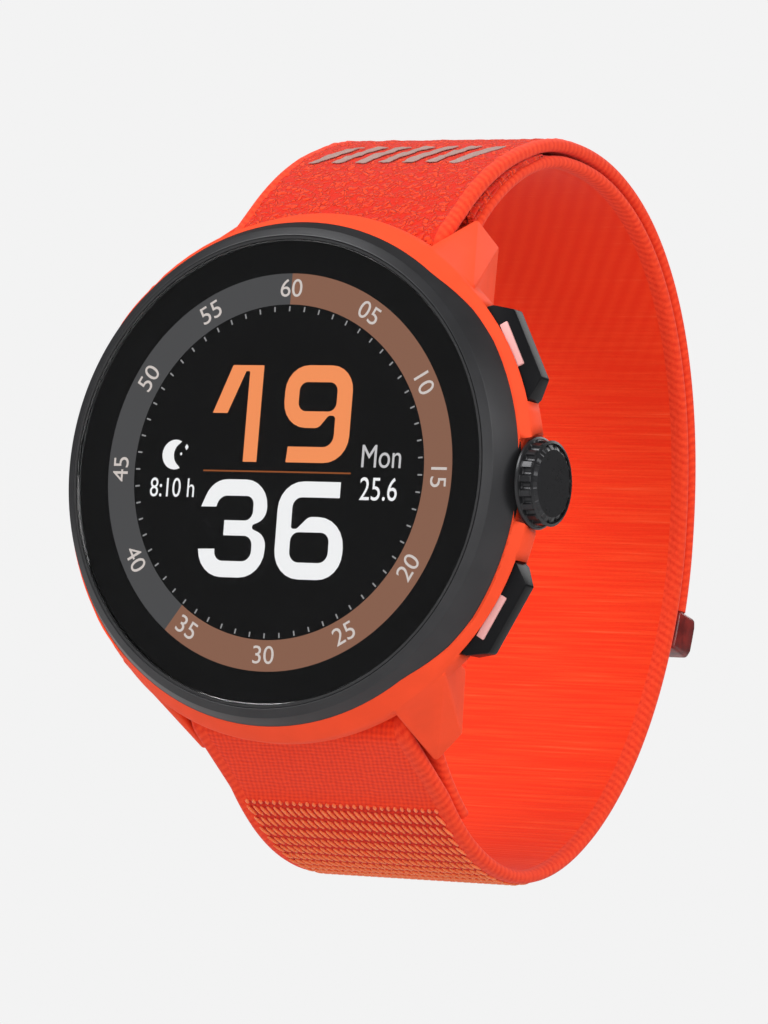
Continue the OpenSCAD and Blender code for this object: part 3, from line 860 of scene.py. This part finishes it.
class WATCH_OT_band(bpy.types.Operator):
    """Makes the band: the strap's inner layer, its sewn end and the stitched field at its front"""

    bl_idname = "watch.band"
    bl_label = "Strap band"

    def execute(self, context):
        s = settings()
        thick, width = s.strap_thickness / MM, STRAP_WIDTH / MM
        course = band_course()

        def relief(along, x, side):
            rise = selvedge(x, width / 2)
            if side > 0 and along > BAND_STITCH_END:
                rise += pile(along, x) * 0.8
            return rise

        def choose(side, along, x):
            if side == 0 or x > width / 2 - 1.3:
                return EDGE
            if side < 0:
                return LINING
            if along < BAND_WEAVE_END:
                return WEAVE
            # Between the stitches the ground takes the darker, painted-shade copy of the weave
            return SHADED_GROUND if along < BAND_STITCH_END else PILE

        bm = strip(course, width, thick, relief, choose)
        band = piece("strap_band_cloth", bm, strap_finishes(), "case", ["strap_band"], 60)
        stitches = self.stitches(course, thick / 2)
        return {"FINISHED"}

    def stitches(self, course, face):
        """One row of dots, then rows of leaning stitches."""
        s = settings()
        columns, pitch = 29, 0.67
        light = yarn("stitch_yarn", tuple(s.stitch_colour), srgb(252, 100, 48))
        across = [(k - (columns - 1) / 2) * pitch for k in range(columns)]
        dots = capsules(course, [(BAND_WEAVE_END, x) for x in across], 0.5, 0.34, 0, face + 0.05)
        row_pitch = 1.42
        rows = [BAND_WEAVE_END + 1.1 + row_pitch * r for r in range(16)]
        leaning = capsules(
            course, [(a, x + 0.12 * (i % 2)) for i, a in enumerate(rows) for x in across],
            1.3, 0.33, 24, face + 0.07)
        return [
            piece("stitch_dots", dots, light, "case", sharp=80),
            piece("leaning_stitches", leaning, light, "case", sharp=80),
        ]


class WATCH_OT_tail(bpy.types.Operator):
    """Makes the tail: the strap's outer layer, its reflective dashes, hook tape and end tab"""

    bl_idname = "watch.tail"
    bl_label = "Strap tail"

    def execute(self, context):
        s = settings()
        thick, width = s.strap_thickness / MM, STRAP_WIDTH / MM
        course = tail_course()

        def relief(along, x, side):
            rise = selvedge(x, width / 2)
            return rise + pile(along, x) if side > 0 else rise

        def choose(side, along, x):
            if side == 0 or x > width / 2 - 1.1:
                return EDGE
            return PILE if side > 0 else LINING

        bm = strip(course, width, thick, relief, choose)
        tail = piece("strap_tail_cloth", bm, strap_finishes(), None, ["strap_tail"], 60)
        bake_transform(tail)
        dashes = self.dashes(course, thick / 2)
        self.hooks(thick)
        self.tab(thick, width)
        return {"FINISHED"}

    def dashes(self, course, face):
        """Generic row of leaning reflective bars across the strap."""
        bars, pitch, lean, half_wide, half_long = 7, 2.35, 0.45, 0.52, 2.3
        first = 15.5
        bm = bmesh.new()
        layer = bm.loops.layers.uv.new("weave")
        for k in range(bars):
            middle = (k - (bars - 1) / 2) * pitch
            made = bmesh.ops.create_grid(bm, x_segments=16, y_segments=4, size=1.0)
            place = {v: (first + v.co.x * half_long, middle + v.co.y * half_wide + v.co.x * half_long * lean)
                     for v in made["verts"]}
            for face_ in {f for v in made["verts"] for f in v.link_faces}:
                for corner in face_.loops:
                    corner[layer].uv = (place[corner.vert][0] * MM, place[corner.vert][1] * MM)
            for v, (along, across) in place.items():
                v.co = course.place(along, across, face + 0.09 + pile(along, across) * 0.9)
        bmesh.ops.solidify(bm, geom=bm.faces[:], thickness=0.06 * MM)
        bmesh.ops.recalc_face_normals(bm, faces=bm.faces)
        return piece("reflective_dashes", bm, reflective_print(srgb(190, 158, 150)), "strap_tail")

    def hooks(self, thick):
        """Hook tape on the tail's inner face; its ribs are in its finish."""
        tape = 0.2
        points = [off_oval(t, thick + 0.1 + tape / 2) for t in sweep(26, -10, 2)]
        course = Course(points, 1)
        red = hook_tape(srgb(190, 36, 20))
        bm = strip(course, STRAP_WIDTH / MM - 3, tape, lambda a, x, side: 0.0, lambda *_: 0, across=40, edge=2)
        piece("hook_tape", bm, red, "strap_tail", ["hook_patch"])

    def tab(self, thick, width):
        """Moulded tab over the tail's end."""
        low, top = thick + 0.1, thick * 2 + LAYER_GAP + 2
        outline = [off_oval(-17.9, low), off_oval(-14.5, low), off_oval(TAIL_LAST - 0.1, low),
                   off_oval(TAIL_LAST - 0.1, top - 0.25), off_oval(-12.4, top), off_oval(-14.2, top),
                   off_oval(-16.4, top), off_oval(-17.7, top - 0.45)]
        bm = bmesh.new()
        half = width / 2
        loop(bm, [Vector((-half, p.x, p.y)) * MM for p in outline])
        bmesh.ops.contextual_create(bm, geom=bm.edges[:])
        extrude(bm, (width * MM, 0, 0))
        sharp = [e for e in bm.edges if e.calc_face_angle(0) > 0.5]
        soften(bm, sharp, 0.3, 3)
        piece("end_tab_moulding", bm, clear_red(), "strap_tail", ["end_tab"], 40)


ZIG_HEIGHT, ZIG_RATE = 0.18, 0.55


class WATCH_OT_fold(bpy.types.Operator):
    """Makes the ragged pile layers that show between band and tail beside the upper lugs"""

    bl_idname = "watch.fold"
    bl_label = "Fold layers"

    def execute(self, context):
        s = settings()
        thick = s.strap_thickness / MM
        finishes = strap_finishes()
        for number, share in enumerate((0.3, 0.62)):
            points = []
            for t in sweep(133, 104, 1):
                room = tail_lift(t) - thick * 1.5
                points.append(off_oval(t, thick + room * share))
            course = Course(points, -1)

            def zigzag(along, number=number):
                return ZIG_HEIGHT * (abs((along * ZIG_RATE + number * 0.37) % 1 - 0.5) * 4 - 1)

            bm = strip(course, STRAP_WIDTH / MM - 0.05, 0.26, lambda *_: 0.0, lambda *_: PILE, across=40, edge=3)
            for v in bm.verts:
                along = v.co.z / MM
                v.co.y += zigzag(along) * MM * 0.6
                v.co.z += zigzag(along + 0.3) * MM * 0.3
            piece(f"fold_layer_{number + 1}", bm, finishes, "case", sharp=80)
        return {"FINISHED"}


# ---------------------------------------------------------------- dial


RING_OUT, RING_IN = 16.75, 14.12
TICK_R, TICK_LONG, TICK_WIDE = 13.72, 0.42, 0.13
RUN_TO = 36


def dial_plate():
    """Plane of the lit graphics, in the gap between the display and the glass."""
    return DISPLAY_LOW.y - 0.003 * MM


class WATCH_OT_dial(bpy.types.Operator):
    """Makes the lit graphics: ring, ticks, minute numbers, time, date and a small moon"""

    bl_idname = "watch.dial"
    bl_label = "Dial graphics"

    thick = 0.008 * MM

    def execute(self, context):
        s = settings()
        white = lit("lit_white", srgb(252, 252, 252))
        grey = lit("lit_grey", srgb(205, 203, 204))
        label = lit("lit_label", srgb(216, 206, 200))
        self.ring_part("ring_run", 0, RUN_TO, lit("lit_run", tuple(s.ring_colour)))
        self.ring_part("ring_rest", RUN_TO, 60, lit("lit_rest", tuple(s.rest_colour)))
        self.ticks(lit("lit_tick", srgb(150, 150, 150)))
        self.labels(label)
        self.show("upper_digits", [self.one(), *self.nine()], lit("lit_digit", tuple(s.digit_colour)))
        self.show("lower_digits", [self.three(), *self.six()], white)
        self.divider(lit("lit_divider", srgb(150, 82, 40)))
        self.write("weekday", "Mon", 2.75, 10.0, 1.35, grey, 0.8)
        self.write("day_number", "25.6", 2.75, 9.95, -1.38, white, 0.78)
        self.write("span", "8:10 h", 2.3, -10.15, -1.6, white, 0.8)
        self.moon(white)
        return {"FINISHED"}

    def show(self, name, outlines, finish):
        bm = flat_figure(outlines, dial_plate(), self.thick)
        return piece(name, bm, finish, "case")

    def ring_part(self, name, first, last, finish):
        bm = bmesh.new()
        y = dial_plate()
        turn = Matrix.Rotation(math.radians(first * 6), 3, "Y")
        verts = [bm.verts.new(turn @ Vector((0, y, r * MM))) for r in (RING_IN, RING_OUT)]
        edge = bm.edges.new(verts)
        bmesh.ops.spin(bm, geom=verts + [edge], cent=(0, 0, 0), axis=(0, 1, 0),
                       angle=math.radians((last - first) * 6), steps=(last - first) * 4, use_merge=False)
        extrude(bm, (0, -self.thick, 0))
        return piece(name, bm, finish, "case")

    def ticks(self, finish):
        bm = bmesh.new()
        for minute in range(60):
            made = bmesh.ops.create_cube(bm, size=1.0)
            size = Matrix.Diagonal((TICK_WIDE * MM, self.thick, TICK_LONG * MM, 1))
            put = Matrix.Translation((0, dial_plate() - self.thick / 2, (TICK_R - TICK_LONG / 2 + 0.25) * MM))
            bmesh.ops.transform(bm, matrix=Matrix.Rotation(math.radians(minute * 6), 4, "Y") @ put @ size,
                                verts=made["verts"])
        return piece("minute_ticks", bm, finish, "case")

    def labels(self, finish):
        """Minute numbers on the ring; the lower ones stand with their feet outwards."""
        middle = (RING_OUT + RING_IN) / 2
        bm = bmesh.new()
        for minute in range(5, 65, 5):
            angle = math.radians(minute * 6)
            turn = angle if minute <= 15 or minute >= 45 else angle + math.pi
            words(bm, f"{minute:02d}", 2.15, middle * math.sin(angle), middle * math.cos(angle), turn, 1.05)
        self.set_plate(bm, 0.01 * MM)
        return piece("minute_numbers", bm, finish, "case")

    def set_plate(self, bm, thick):
        bmesh.ops.translate(bm, vec=(0, dial_plate(), 0), verts=bm.verts)
        extrude(bm, (0, -thick, 0))

    def write(self, name, text, size, x, z, finish, squeeze):
        bm = bmesh.new()
        words(bm, text, size, x, z, 0.0, squeeze)
        self.set_plate(bm, self.thick)
        return piece(name, bm, finish, "case")

    def one(self):
        return rounded([
            (-6.71, 4.88, 0), (-5.05, 8.95, 0.1), (-2.0, 8.95, 0.05), (-2.0, 0.78, 0), (-3.35, 0.78, 0),
            (-3.35, 8.45, 0.12), (-3.72, 8.45, 0.1), (-5.25, 4.88, 0)])

    def nine(self):
        body = rounded([
            (0.85, 0.8, 0.05), (6.78, 0.8, 2.3), (6.78, 9.0, 2.1), (0.26, 9.0, 2.2), (0.26, 3.72, 2.2),
            (3.75, 3.72, 0.8), (4.65, 4.78, 0.35), (5.3, 4.78, 0.3), (5.3, 2.13, 1.0), (0.95, 2.13, 0)])
        return [body, rounded([(1.65, 5.12, 0.75), (1.65, 7.58, 0.75), (5.32, 7.58, 0.75), (5.32, 5.12, 0.75)])]

    def three(self):
        return rounded([
            (-7.12, -3.06, 0), (-6.1, -0.72, 2.2), (-0.6, -0.72, 2.2), (-0.6, -4.0, 1.3), (-2.4, -4.7, 0.25),
            (-0.55, -5.4, 1.3), (-0.55, -8.97, 2.4), (-6.95, -8.97, 2.4), (-7.12, -6.64, 0), (-5.5, -6.6, 0),
            (-5.5, -7.6, 0.8), (-1.87, -7.6, 0.9), (-1.87, -5.45, 0.8), (-4.72, -5.45, 0), (-4.72, -4.17, 0),
            (-1.95, -4.17, 0.8), (-1.95, -2.1, 0.7), (-5.3, -2.1, 1.0), (-5.62, -3.05, 0)])

    def six(self):
        body = rounded([
            (6.34, -0.77, 0), (0.45, -0.77, 2.4), (0.4, -8.97, 2.4), (6.97, -8.97, 2.3), (6.97, -3.72, 2.5),
            (3.5, -3.72, 0.9), (2.4, -4.75, 0.35), (1.85, -4.75, 0.2), (1.85, -2.1, 0.9), (6.34, -2.1, 0)])
        return [body, rounded([(1.85, -5.02, 0.8), (5.58, -5.02, 0.8), (5.58, -7.56, 0.9), (1.85, -7.56, 0.9)])]

    def divider(self, finish):
        return self.show("divider", [[(-7.2, -0.08), (-7.2, 0.05), (7.2, 0.05), (7.2, -0.08)]], finish)

    def moon(self, finish):
        """Crescent between two arcs, with two small stars."""
        middle, radius = Vector((-10.15, 1.28)), 1.27
        outer = [middle + radius * Vector((math.cos(a), math.sin(a)))
                 for a in (math.radians(k) for k in sweep(62, 296, 13))]
        shift, inner_r = 1.0, 1.12
        start, end = outer[-1], outer[0]
        hollow = middle + Vector((shift, 0))
        first = math.atan2(start.y - hollow.y, start.x - hollow.x)
        last = math.atan2(end.y - hollow.y, end.x - hollow.x)
        inner = [hollow + inner_r * Vector((math.cos(a), math.sin(a)))
                 for a in sweep(first % math.tau, last % math.tau, 0.2)]
        star = [(-9.04, 2.2), (-8.86, 1.93), (-9.04, 1.66), (-9.22, 1.93)]
        dot = [(-9.55, 1.5), (-9.43, 1.35), (-9.55, 1.2), (-9.67, 1.35)]
        return self.show("moon_and_stars", [[tuple(p) for p in outer + inner[1:-1]], star, dot], finish)


# ---------------------------------------------------------------- hard pieces


def black_plastic(name="button_black"):
    return moulded(name, srgb(20, 20, 22), 0.34, 0.003, 0.06, Specular_IOR_Level=0.1)


INK_IN, INK_OUT = 17.05, 19.55


class WATCH_OT_bezel(bpy.types.Operator):
    """Makes the turned bezel ring, and the cover glass in it with its black border ink"""

    bl_idname = "watch.bezel"
    bl_label = "Bezel and glass"

    def execute(self, context):
        front, low, edge = BEZEL_LOW.y / MM, BEZEL_HIGH.y / MM, BEZEL_R / MM
        inner = GLASS_R / MM + 0.27
        outline = rounded([
            (inner, front + 0.8, 0), (inner, front, 0.07), (20.66, front + 0.5, 0.09),
            (edge - 0.02, front + 2.78, 0.09), (edge, low, 0.05),
            (GLASS_R / MM, low, 0), (GLASS_R / MM, front + 0.8, 0)], 4)
        bm = lathe([(r * MM, a * MM) for r, a in outline], "Y")
        piece("bezel_turned", bm, bezel_coating(tuple(settings().bezel_colour)), "case",
              ["bezel_ring"], 8)
        r, y, back = GLASS_R / MM - 0.02, GLASS_FRONT / MM, GLASS_HIGH.y / MM
        glass = [(0, y), *rounded([(r - 0.22, y, 0.12), (r, y + 0.22, 0.1), (r, back, 0.03)], 4), (0, back)]
        bm = lathe([(a * MM, b * MM) for a, b in glass], "Y", closed=False)
        ink_low, ink_high = back + 0.01, back + 0.016
        mask = [(INK_IN, ink_low), (INK_OUT, ink_low), (INK_OUT, ink_high), (INK_IN, ink_high)]
        ink = lathe([(a * MM, b * MM) for a, b in mask], "Y")
        piece("glass_border_ink", ink, screen_black("border_ink"), "case", sharp=20)
        piece("glass_disc", bm, cover_glass_finish(), "case", ["cover_glass"], 30)
        return {"FINISHED"}


class WATCH_OT_crown(bpy.types.Operator):
    """Makes the turned crown with its grooves"""

    bl_idname = "watch.crown"
    bl_label = "Crown"

    def execute(self, context):
        centre = (CROWN_LOW + CROWN_HIGH) / 2
        rear, face, cap = CROWN_LOW.x / MM, CROWN_HIGH.x / MM, (CROWN_HIGH.z - CROWN_LOW.z) / 2 / MM
        grip = cap - 0.35
        outline = [(0, rear)] + rounded([
            (cap - 0.15, rear, 0.05), (cap, rear + 0.14, 0.08), (cap, rear + 0.32, 0.05),
            (grip + 0.12, rear + 0.42, 0.03)], 3)
        grooved = [rear + 0.46 + 0.07 * k for k in range(12)]
        outline += [(grip + 0.05 - 0.05 * k / 11, x) for k, x in enumerate(grooved)]
        outline += rounded([
            (grip - 0.02, face - 0.36, 0.05), (grip - 0.14, face - 0.1, 0.1), (grip - 0.42, face, 0.1)], 4)
        outline += [(grip - 0.7, face), (grip - 1.1, face), (0, face)]
        bm = lathe([(r * MM, (x - centre.x / MM) * MM) for r, x in outline], "X", tuple(centre), 360, False)
        grooves = settings().crown_grooves
        for v in bm.verts:
            out = v.co - centre
            radius, x = math.hypot(out.y, out.z), v.co.x / MM
            if radius / MM < grip - 0.3 or x < rear + 0.4 or x > face - 0.2:
                continue
            phase = (math.atan2(out.z, out.y) / math.tau * grooves) % 1 - 0.5
            fade = min(1.0, (x - rear - 0.4) / 0.08) * min(1.0, (face - 0.2 - x) / 0.16)
            depth = 0.34 * max(0.0, 1 - (phase / 0.3) ** 2) ** 0.5 * fade
            v.co -= Vector((0, out.y, out.z)) / radius * depth * MM
        finish = metal("crown_black", tuple(settings().bezel_colour), 0.3, (6, 1, 1), 0.003, 0.55)
        piece("crown_turned", bm, finish, "crown", ["crown_knob"], 14)
        return {"FINISHED"}


CAP_FOOT, CAP_ROOT, CAP_FACE = 22.0, 22.75, 24.14
ROOT_HALF, ROOT_RISE = 4.48, 1.08
FACE_HALF, FACE_LOW, FACE_TOP = 3.2, -0.82, 0.72
# Size and place of the pale pink strip on each button, a painted reflection of the button's polished side
REFLECTION_STRIP_SIZE, REFLECTION_STRIP_MIDDLE = (0.74, 4.0, 0.5), (22.92, 0.5, 0.86)


class WATCH_OT_buttons(bpy.types.Operator):
    """Makes both button caps as bevelled wedges, each with a pale pink strip that is a painted reflection of its
    polished side
    """

    bl_idname = "watch.buttons"
    bl_label = "Buttons"

    angle = math.radians(28.25)
    axis_height = -7.05 * MM

    def execute(self, context):
        black = black_plastic()
        # Pale pink colour of the painted reflection on each button's polished side
        inlay = moulded("button_reflection_paint", srgb(236, 172, 168), 0.42, 0.002, 0.04)
        for name, side in (("upper", 1), ("lower", -1)):
            self.cap(name, side, black)
            self.insert(name, side, inlay)
        return {"FINISHED"}

    def turn(self, side):
        """From outwards, along and towards the back, to the row frame."""
        angle = self.angle * side
        out = Vector((math.cos(angle), 0, math.sin(angle)))
        along = Vector((-math.sin(angle), 0, math.cos(angle)))
        return Matrix((
            (out.x, along.x, 0, 0), (0, 0, -1, self.axis_height), (out.z, along.z, 0, 0), (0, 0, 0, 1)))

    def wedge(self, bm, corners):
        """Box whose eight corners are moved to (out, along, up) millimetres, low face first."""
        verts = bmesh.ops.create_cube(bm, size=2.0)["verts"]
        for v in verts:
            key = (v.co.x > 0, v.co.y > 0, v.co.z > 0)
            v.co = Vector(corners[key]) * MM
        return verts

    def cap(self, name, side, finish):
        bm = bmesh.new()
        corners = {}
        for right in (False, True):
            y = 1 if right else -1
            for up in (False, True):
                corners[False, right, up] = (CAP_FOOT, ROOT_HALF * y, ROOT_RISE if up else -ROOT_RISE)
                corners[True, right, up] = (CAP_FACE, FACE_HALF * y, FACE_TOP if up else FACE_LOW)
        self.wedge(bm, corners)
        bmesh.ops.bisect_plane(bm, geom=bm.verts[:] + bm.edges[:] + bm.faces[:], dist=1e-7,
                               plane_co=(CAP_ROOT * MM, 0, 0), plane_no=(1, 0, 0))
        for v in bm.verts:
            if v.co.x < (CAP_ROOT + 0.05) * MM:
                v.co.y = math.copysign(ROOT_HALF * MM, v.co.y)
                v.co.z = math.copysign(ROOT_RISE * MM, v.co.z)
        sharp = [e for e in bm.edges if e.calc_face_angle(0) > 0.05]
        soften(bm, sharp, 0.17, 4)
        bmesh.ops.transform(bm, matrix=self.turn(side), verts=bm.verts)
        bmesh.ops.recalc_face_normals(bm, faces=bm.faces)
        piece(f"{name}_cap_moulding", bm, finish, f"{name}_button", [f"{name}_button_cap"], 40)

    # Pale pink strip on the button: a painted reflection of its polished side, made as a thin box
    def insert(self, name, side, finish):
        bm = bmesh.new()
        made = bmesh.ops.create_cube(bm, size=1.0)["verts"]
        out, along, up = REFLECTION_STRIP_MIDDLE
        size = Matrix.Diagonal((*(n * MM for n in REFLECTION_STRIP_SIZE), 1))
        middle = Matrix.Translation((out * MM, along * side * MM, up * MM))
        bmesh.ops.transform(bm, matrix=middle @ size, verts=made)
        bmesh.ops.bevel(bm, geom=bm.edges[:], offset=0.1 * MM, offset_type="OFFSET", affect="EDGES", segments=3,
                        profile=0.5, material=-1)
        bmesh.ops.transform(bm, matrix=self.turn(side), verts=bm.verts)
        bmesh.ops.recalc_face_normals(bm, faces=bm.faces)
        piece(f"{name}_painted_reflection_strip", bm, finish, f"{name}_button", [f"{name}_button_insert"], 40)


RIM_R, RIM_HEIGHT = 21.97, 5.5
CONE_REACH, CONE_SIN, CONE_COS = 23.1, 0.4985, 0.8635


class WATCH_OT_case(bpy.types.Operator):
    """Gives the CAD pieces their finishes, and makes the case's moulding with its rim drawn in"""

    bl_idname = "watch.case"
    bl_label = "Case and inner pieces"

    def execute(self, context):
        s = settings()
        orange = moulded("case_orange", tuple(s.case_colour), 0.6, 0.004, 0.03, Specular_IOR_Level=0.12)
        self.shell(orange)
        back = moulded("back_black", srgb(34, 34, 36), 0.48, 0.012, 0.08)
        steel = metal("bare_steel", srgb(196, 194, 190), 0.28, (1, 7, 7))
        gold = metal("gold_contact", srgb(236, 190, 110), 0.24, (4, 4, 4))
        inner = moulded("inner_plastic", srgb(36, 37, 40), 0.55, 0.01)
        groups = {
            inner: ("inner_plastic",),
            back: ("back_plastic",),
            steel: ("bare_steel",),
            gold: ("gold_contact",),
            rubber("seal_rubber"): ("seal_rubber",),
            screen_black(): ("display",),
            metal("battery_foil", srgb(188, 190, 194), 0.34, (2, 2, 2), 0.02): ("battery_foil",),
            circuit_board("board_green", srgb(14, 64, 34)): ("board_green",),
            sensor_cover(): ("sensor_glass",),
            moulded("led_white", srgb(226, 228, 222), 0.3, 0.002): ("led_white",),
            black_plastic("button_spare"): ("button_black", "bezel_black", "cover_glass"),
            orange: ("case_orange",),
            # This pale pink spare has the colour of the painted reflection on the buttons
            moulded("reflection_paint_spare", srgb(230, 170, 166), 0.45): ("button_inlay", "tab_red"),
            moulded("cloth_spare", tuple(s.strap_colour), 0.9): ("strap_textile", "hook_tape"),
        }
        slots = {slot: finish for finish, names in groups.items() for slot in names}
        for part in frame["record"]["subparts"]:
            if part["node"] != "case_body":
                dress(slots[part["material_slot"]], part["node"])
        return {"FINISHED"}

    def shell(self, finish):
        """A merged copy of the case, whose rim draws in behind the bezel from 12 round to 8 o'clock."""
        bm = bmesh.new()
        bm.from_mesh(NODES["case_body"].data)
        bmesh.ops.remove_doubles(bm, verts=bm.verts, dist=1e-6)
        for v in bm.verts:
            height, radius = -v.co.y / MM, math.hypot(v.co.x, v.co.z) / MM
            angle = math.degrees(math.atan2(v.co.z, v.co.x)) % 360
            share = min(1, max(0, (angle - 75) / 25)) * min(1, max(0, (237 - angle) / 22))
            limit = max(RIM_R, (CONE_REACH - CONE_SIN * height) / CONE_COS)
            if height > RIM_HEIGHT and radius > limit and share > 0:
                pull = 1 - share * (1 - limit / radius)
                v.co.x, v.co.z = v.co.x * pull, v.co.z * pull
        bmesh.ops.recalc_face_normals(bm, faces=bm.faces)
        piece("case_moulding", bm, finish, "case", ["case_body"], 28)


WORLD_LIGHT, WORLD_SEEN, GLOSS_CUT = 0.42, 0.896, 0.32


class WATCH_OT_stage(bpy.types.Operator):
    """Sets the pale floor, the lights, the world and the camera"""

    bl_idname = "watch.stage"
    bl_label = "Stage"

    def execute(self, context):
        stage = context.scene.watch_stage
        low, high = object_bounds()
        bm = bmesh.new()
        bmesh.ops.create_grid(bm, x_segments=8, y_segments=8, size=0.6)
        bmesh.ops.translate(bm, vec=(0, 0, stage.floor_height), verts=bm.verts)
        mesh = bpy.data.meshes.new("floor")
        bm.to_mesh(mesh)
        bm.free()
        mesh.materials.append(floor_paint(tuple(stage.floor_colour)))
        made = [put_in_scene("floor", mesh)]
        middle = (low + high) / 2
        for name, place, size, power in (
                ("key_light", (-0.55, -0.75, 0.85), 0.7, 11.0),
                ("side_light", (1.05, -0.35, 0.5), 0.8, 6.0),
                ("front_light", (0.5, -1.3, 0.1), 0.9, 4.5),
                ("back_light", (0.2, 1.1, 0.8), 0.9, 5.0)):
            made.append(self.light(name, middle, Vector(place), size, power))
        self.camera(stage)
        self.world()
        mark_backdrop(*made)
        context.scene.view_settings.view_transform = "Standard"
        return {"FINISHED"}

    def light(self, name, middle, place, size, power):
        lamp = bpy.data.lights.new(name, "AREA")
        lamp.shape, lamp.size, lamp.energy = "DISK", size, power
        made = put_in_scene(name, lamp)
        made.location = middle + place
        made.rotation_euler = (-place).to_track_quat("-Z", "Y").to_euler()
        return made

    def camera(self, stage):
        az, el, roll = stage.azimuth, stage.elevation, stage.roll
        back = Vector((math.sin(az) * math.cos(el), -math.cos(az) * math.cos(el), math.sin(el)))
        side = Vector((math.cos(az), math.sin(az), 0))
        over = back.cross(side)
        right = side * math.cos(roll) + over * math.sin(roll)
        up = back.cross(right)
        dial = Vector((0, DISPLAY_LOW.y - 0.25 * MM, 0))
        place = dial + back * stage.distance + right * stage.aside + up * stage.above
        lens = bpy.data.cameras.new("camera")
        lens.lens, lens.sensor_width = stage.lens, 36.0
        lens.clip_start, lens.clip_end = 0.01, 10.0
        made = put_in_scene("camera", lens)
        made.matrix_world = Matrix((
            (right.x, up.x, back.x, place.x), (right.y, up.y, back.y, place.y),
            (right.z, up.z, back.z, place.z), (0, 0, 0, 1)))
        bpy.context.scene.camera = made

    def world(self):
        """Pale surround: bright where the camera looks at it, dimmer as a light source."""
        world = bpy.data.worlds.new("world")
        bpy.context.scene.world = world
        world.use_nodes = True
        tree = world.node_tree
        paths = tree.nodes.new("ShaderNodeLightPath")
        ground = tree.nodes["Background"]
        ground.inputs[0].default_value = (1, 1, 1, 1)
        strength = WORLD_LIGHT
        for ray, change in (("Is Camera Ray", WORLD_SEEN - WORLD_LIGHT), ("Is Glossy Ray", -GLOSS_CUT)):
            add = tree.nodes.new("ShaderNodeMath")
            add.operation = "MULTIPLY_ADD"
            tree.links.new(paths.outputs[ray], add.inputs[0])
            add.inputs[1].default_value = change
            if isinstance(strength, float):
                add.inputs[2].default_value = strength
            else:
                tree.links.new(strength, add.inputs[2])
            strength = add.outputs[0]
        tree.links.new(strength, ground.inputs[1])


class WATCH_PT_panel(bpy.types.Panel):
    """Lists the watch's operators and settings"""

    bl_idname = "WATCH_PT_panel"
    bl_label = "Running watch"
    bl_space_type = "VIEW_3D"
    bl_region_type = "UI"
    bl_category = "Watch"

    def draw(self, context):
        for group in (context.scene.watch, context.scene.watch_stage):
            for key in type(group).__annotations__:
                self.layout.prop(group, key)
        for operator in OPERATORS:
            self.layout.operator(operator.bl_idname)


OPERATORS = (
    WATCH_OT_case, WATCH_OT_dial, WATCH_OT_bezel, WATCH_OT_crown, WATCH_OT_buttons, WATCH_OT_band, WATCH_OT_tail,
    WATCH_OT_fold, WATCH_OT_stage)
CLASSES = (WatchSettings, StageSettings, *OPERATORS, WATCH_PT_panel)


def register():
    for cls in CLASSES:
        bpy.utils.register_class(cls)
    bpy.types.Scene.watch = bpy.props.PointerProperty(type=WatchSettings)
    bpy.types.Scene.watch_stage = bpy.props.PointerProperty(type=StageSettings)


def unregister():
    del bpy.types.Scene.watch_stage
    del bpy.types.Scene.watch
    for cls in reversed(CLASSES):
        bpy.utils.unregister_class(cls)


def main():
    register()
    for operator in OPERATORS:
        group, name = operator.bl_idname.split(".")
        getattr(getattr(bpy.ops, group), name)()


if __name__ == "__main__":
    main()
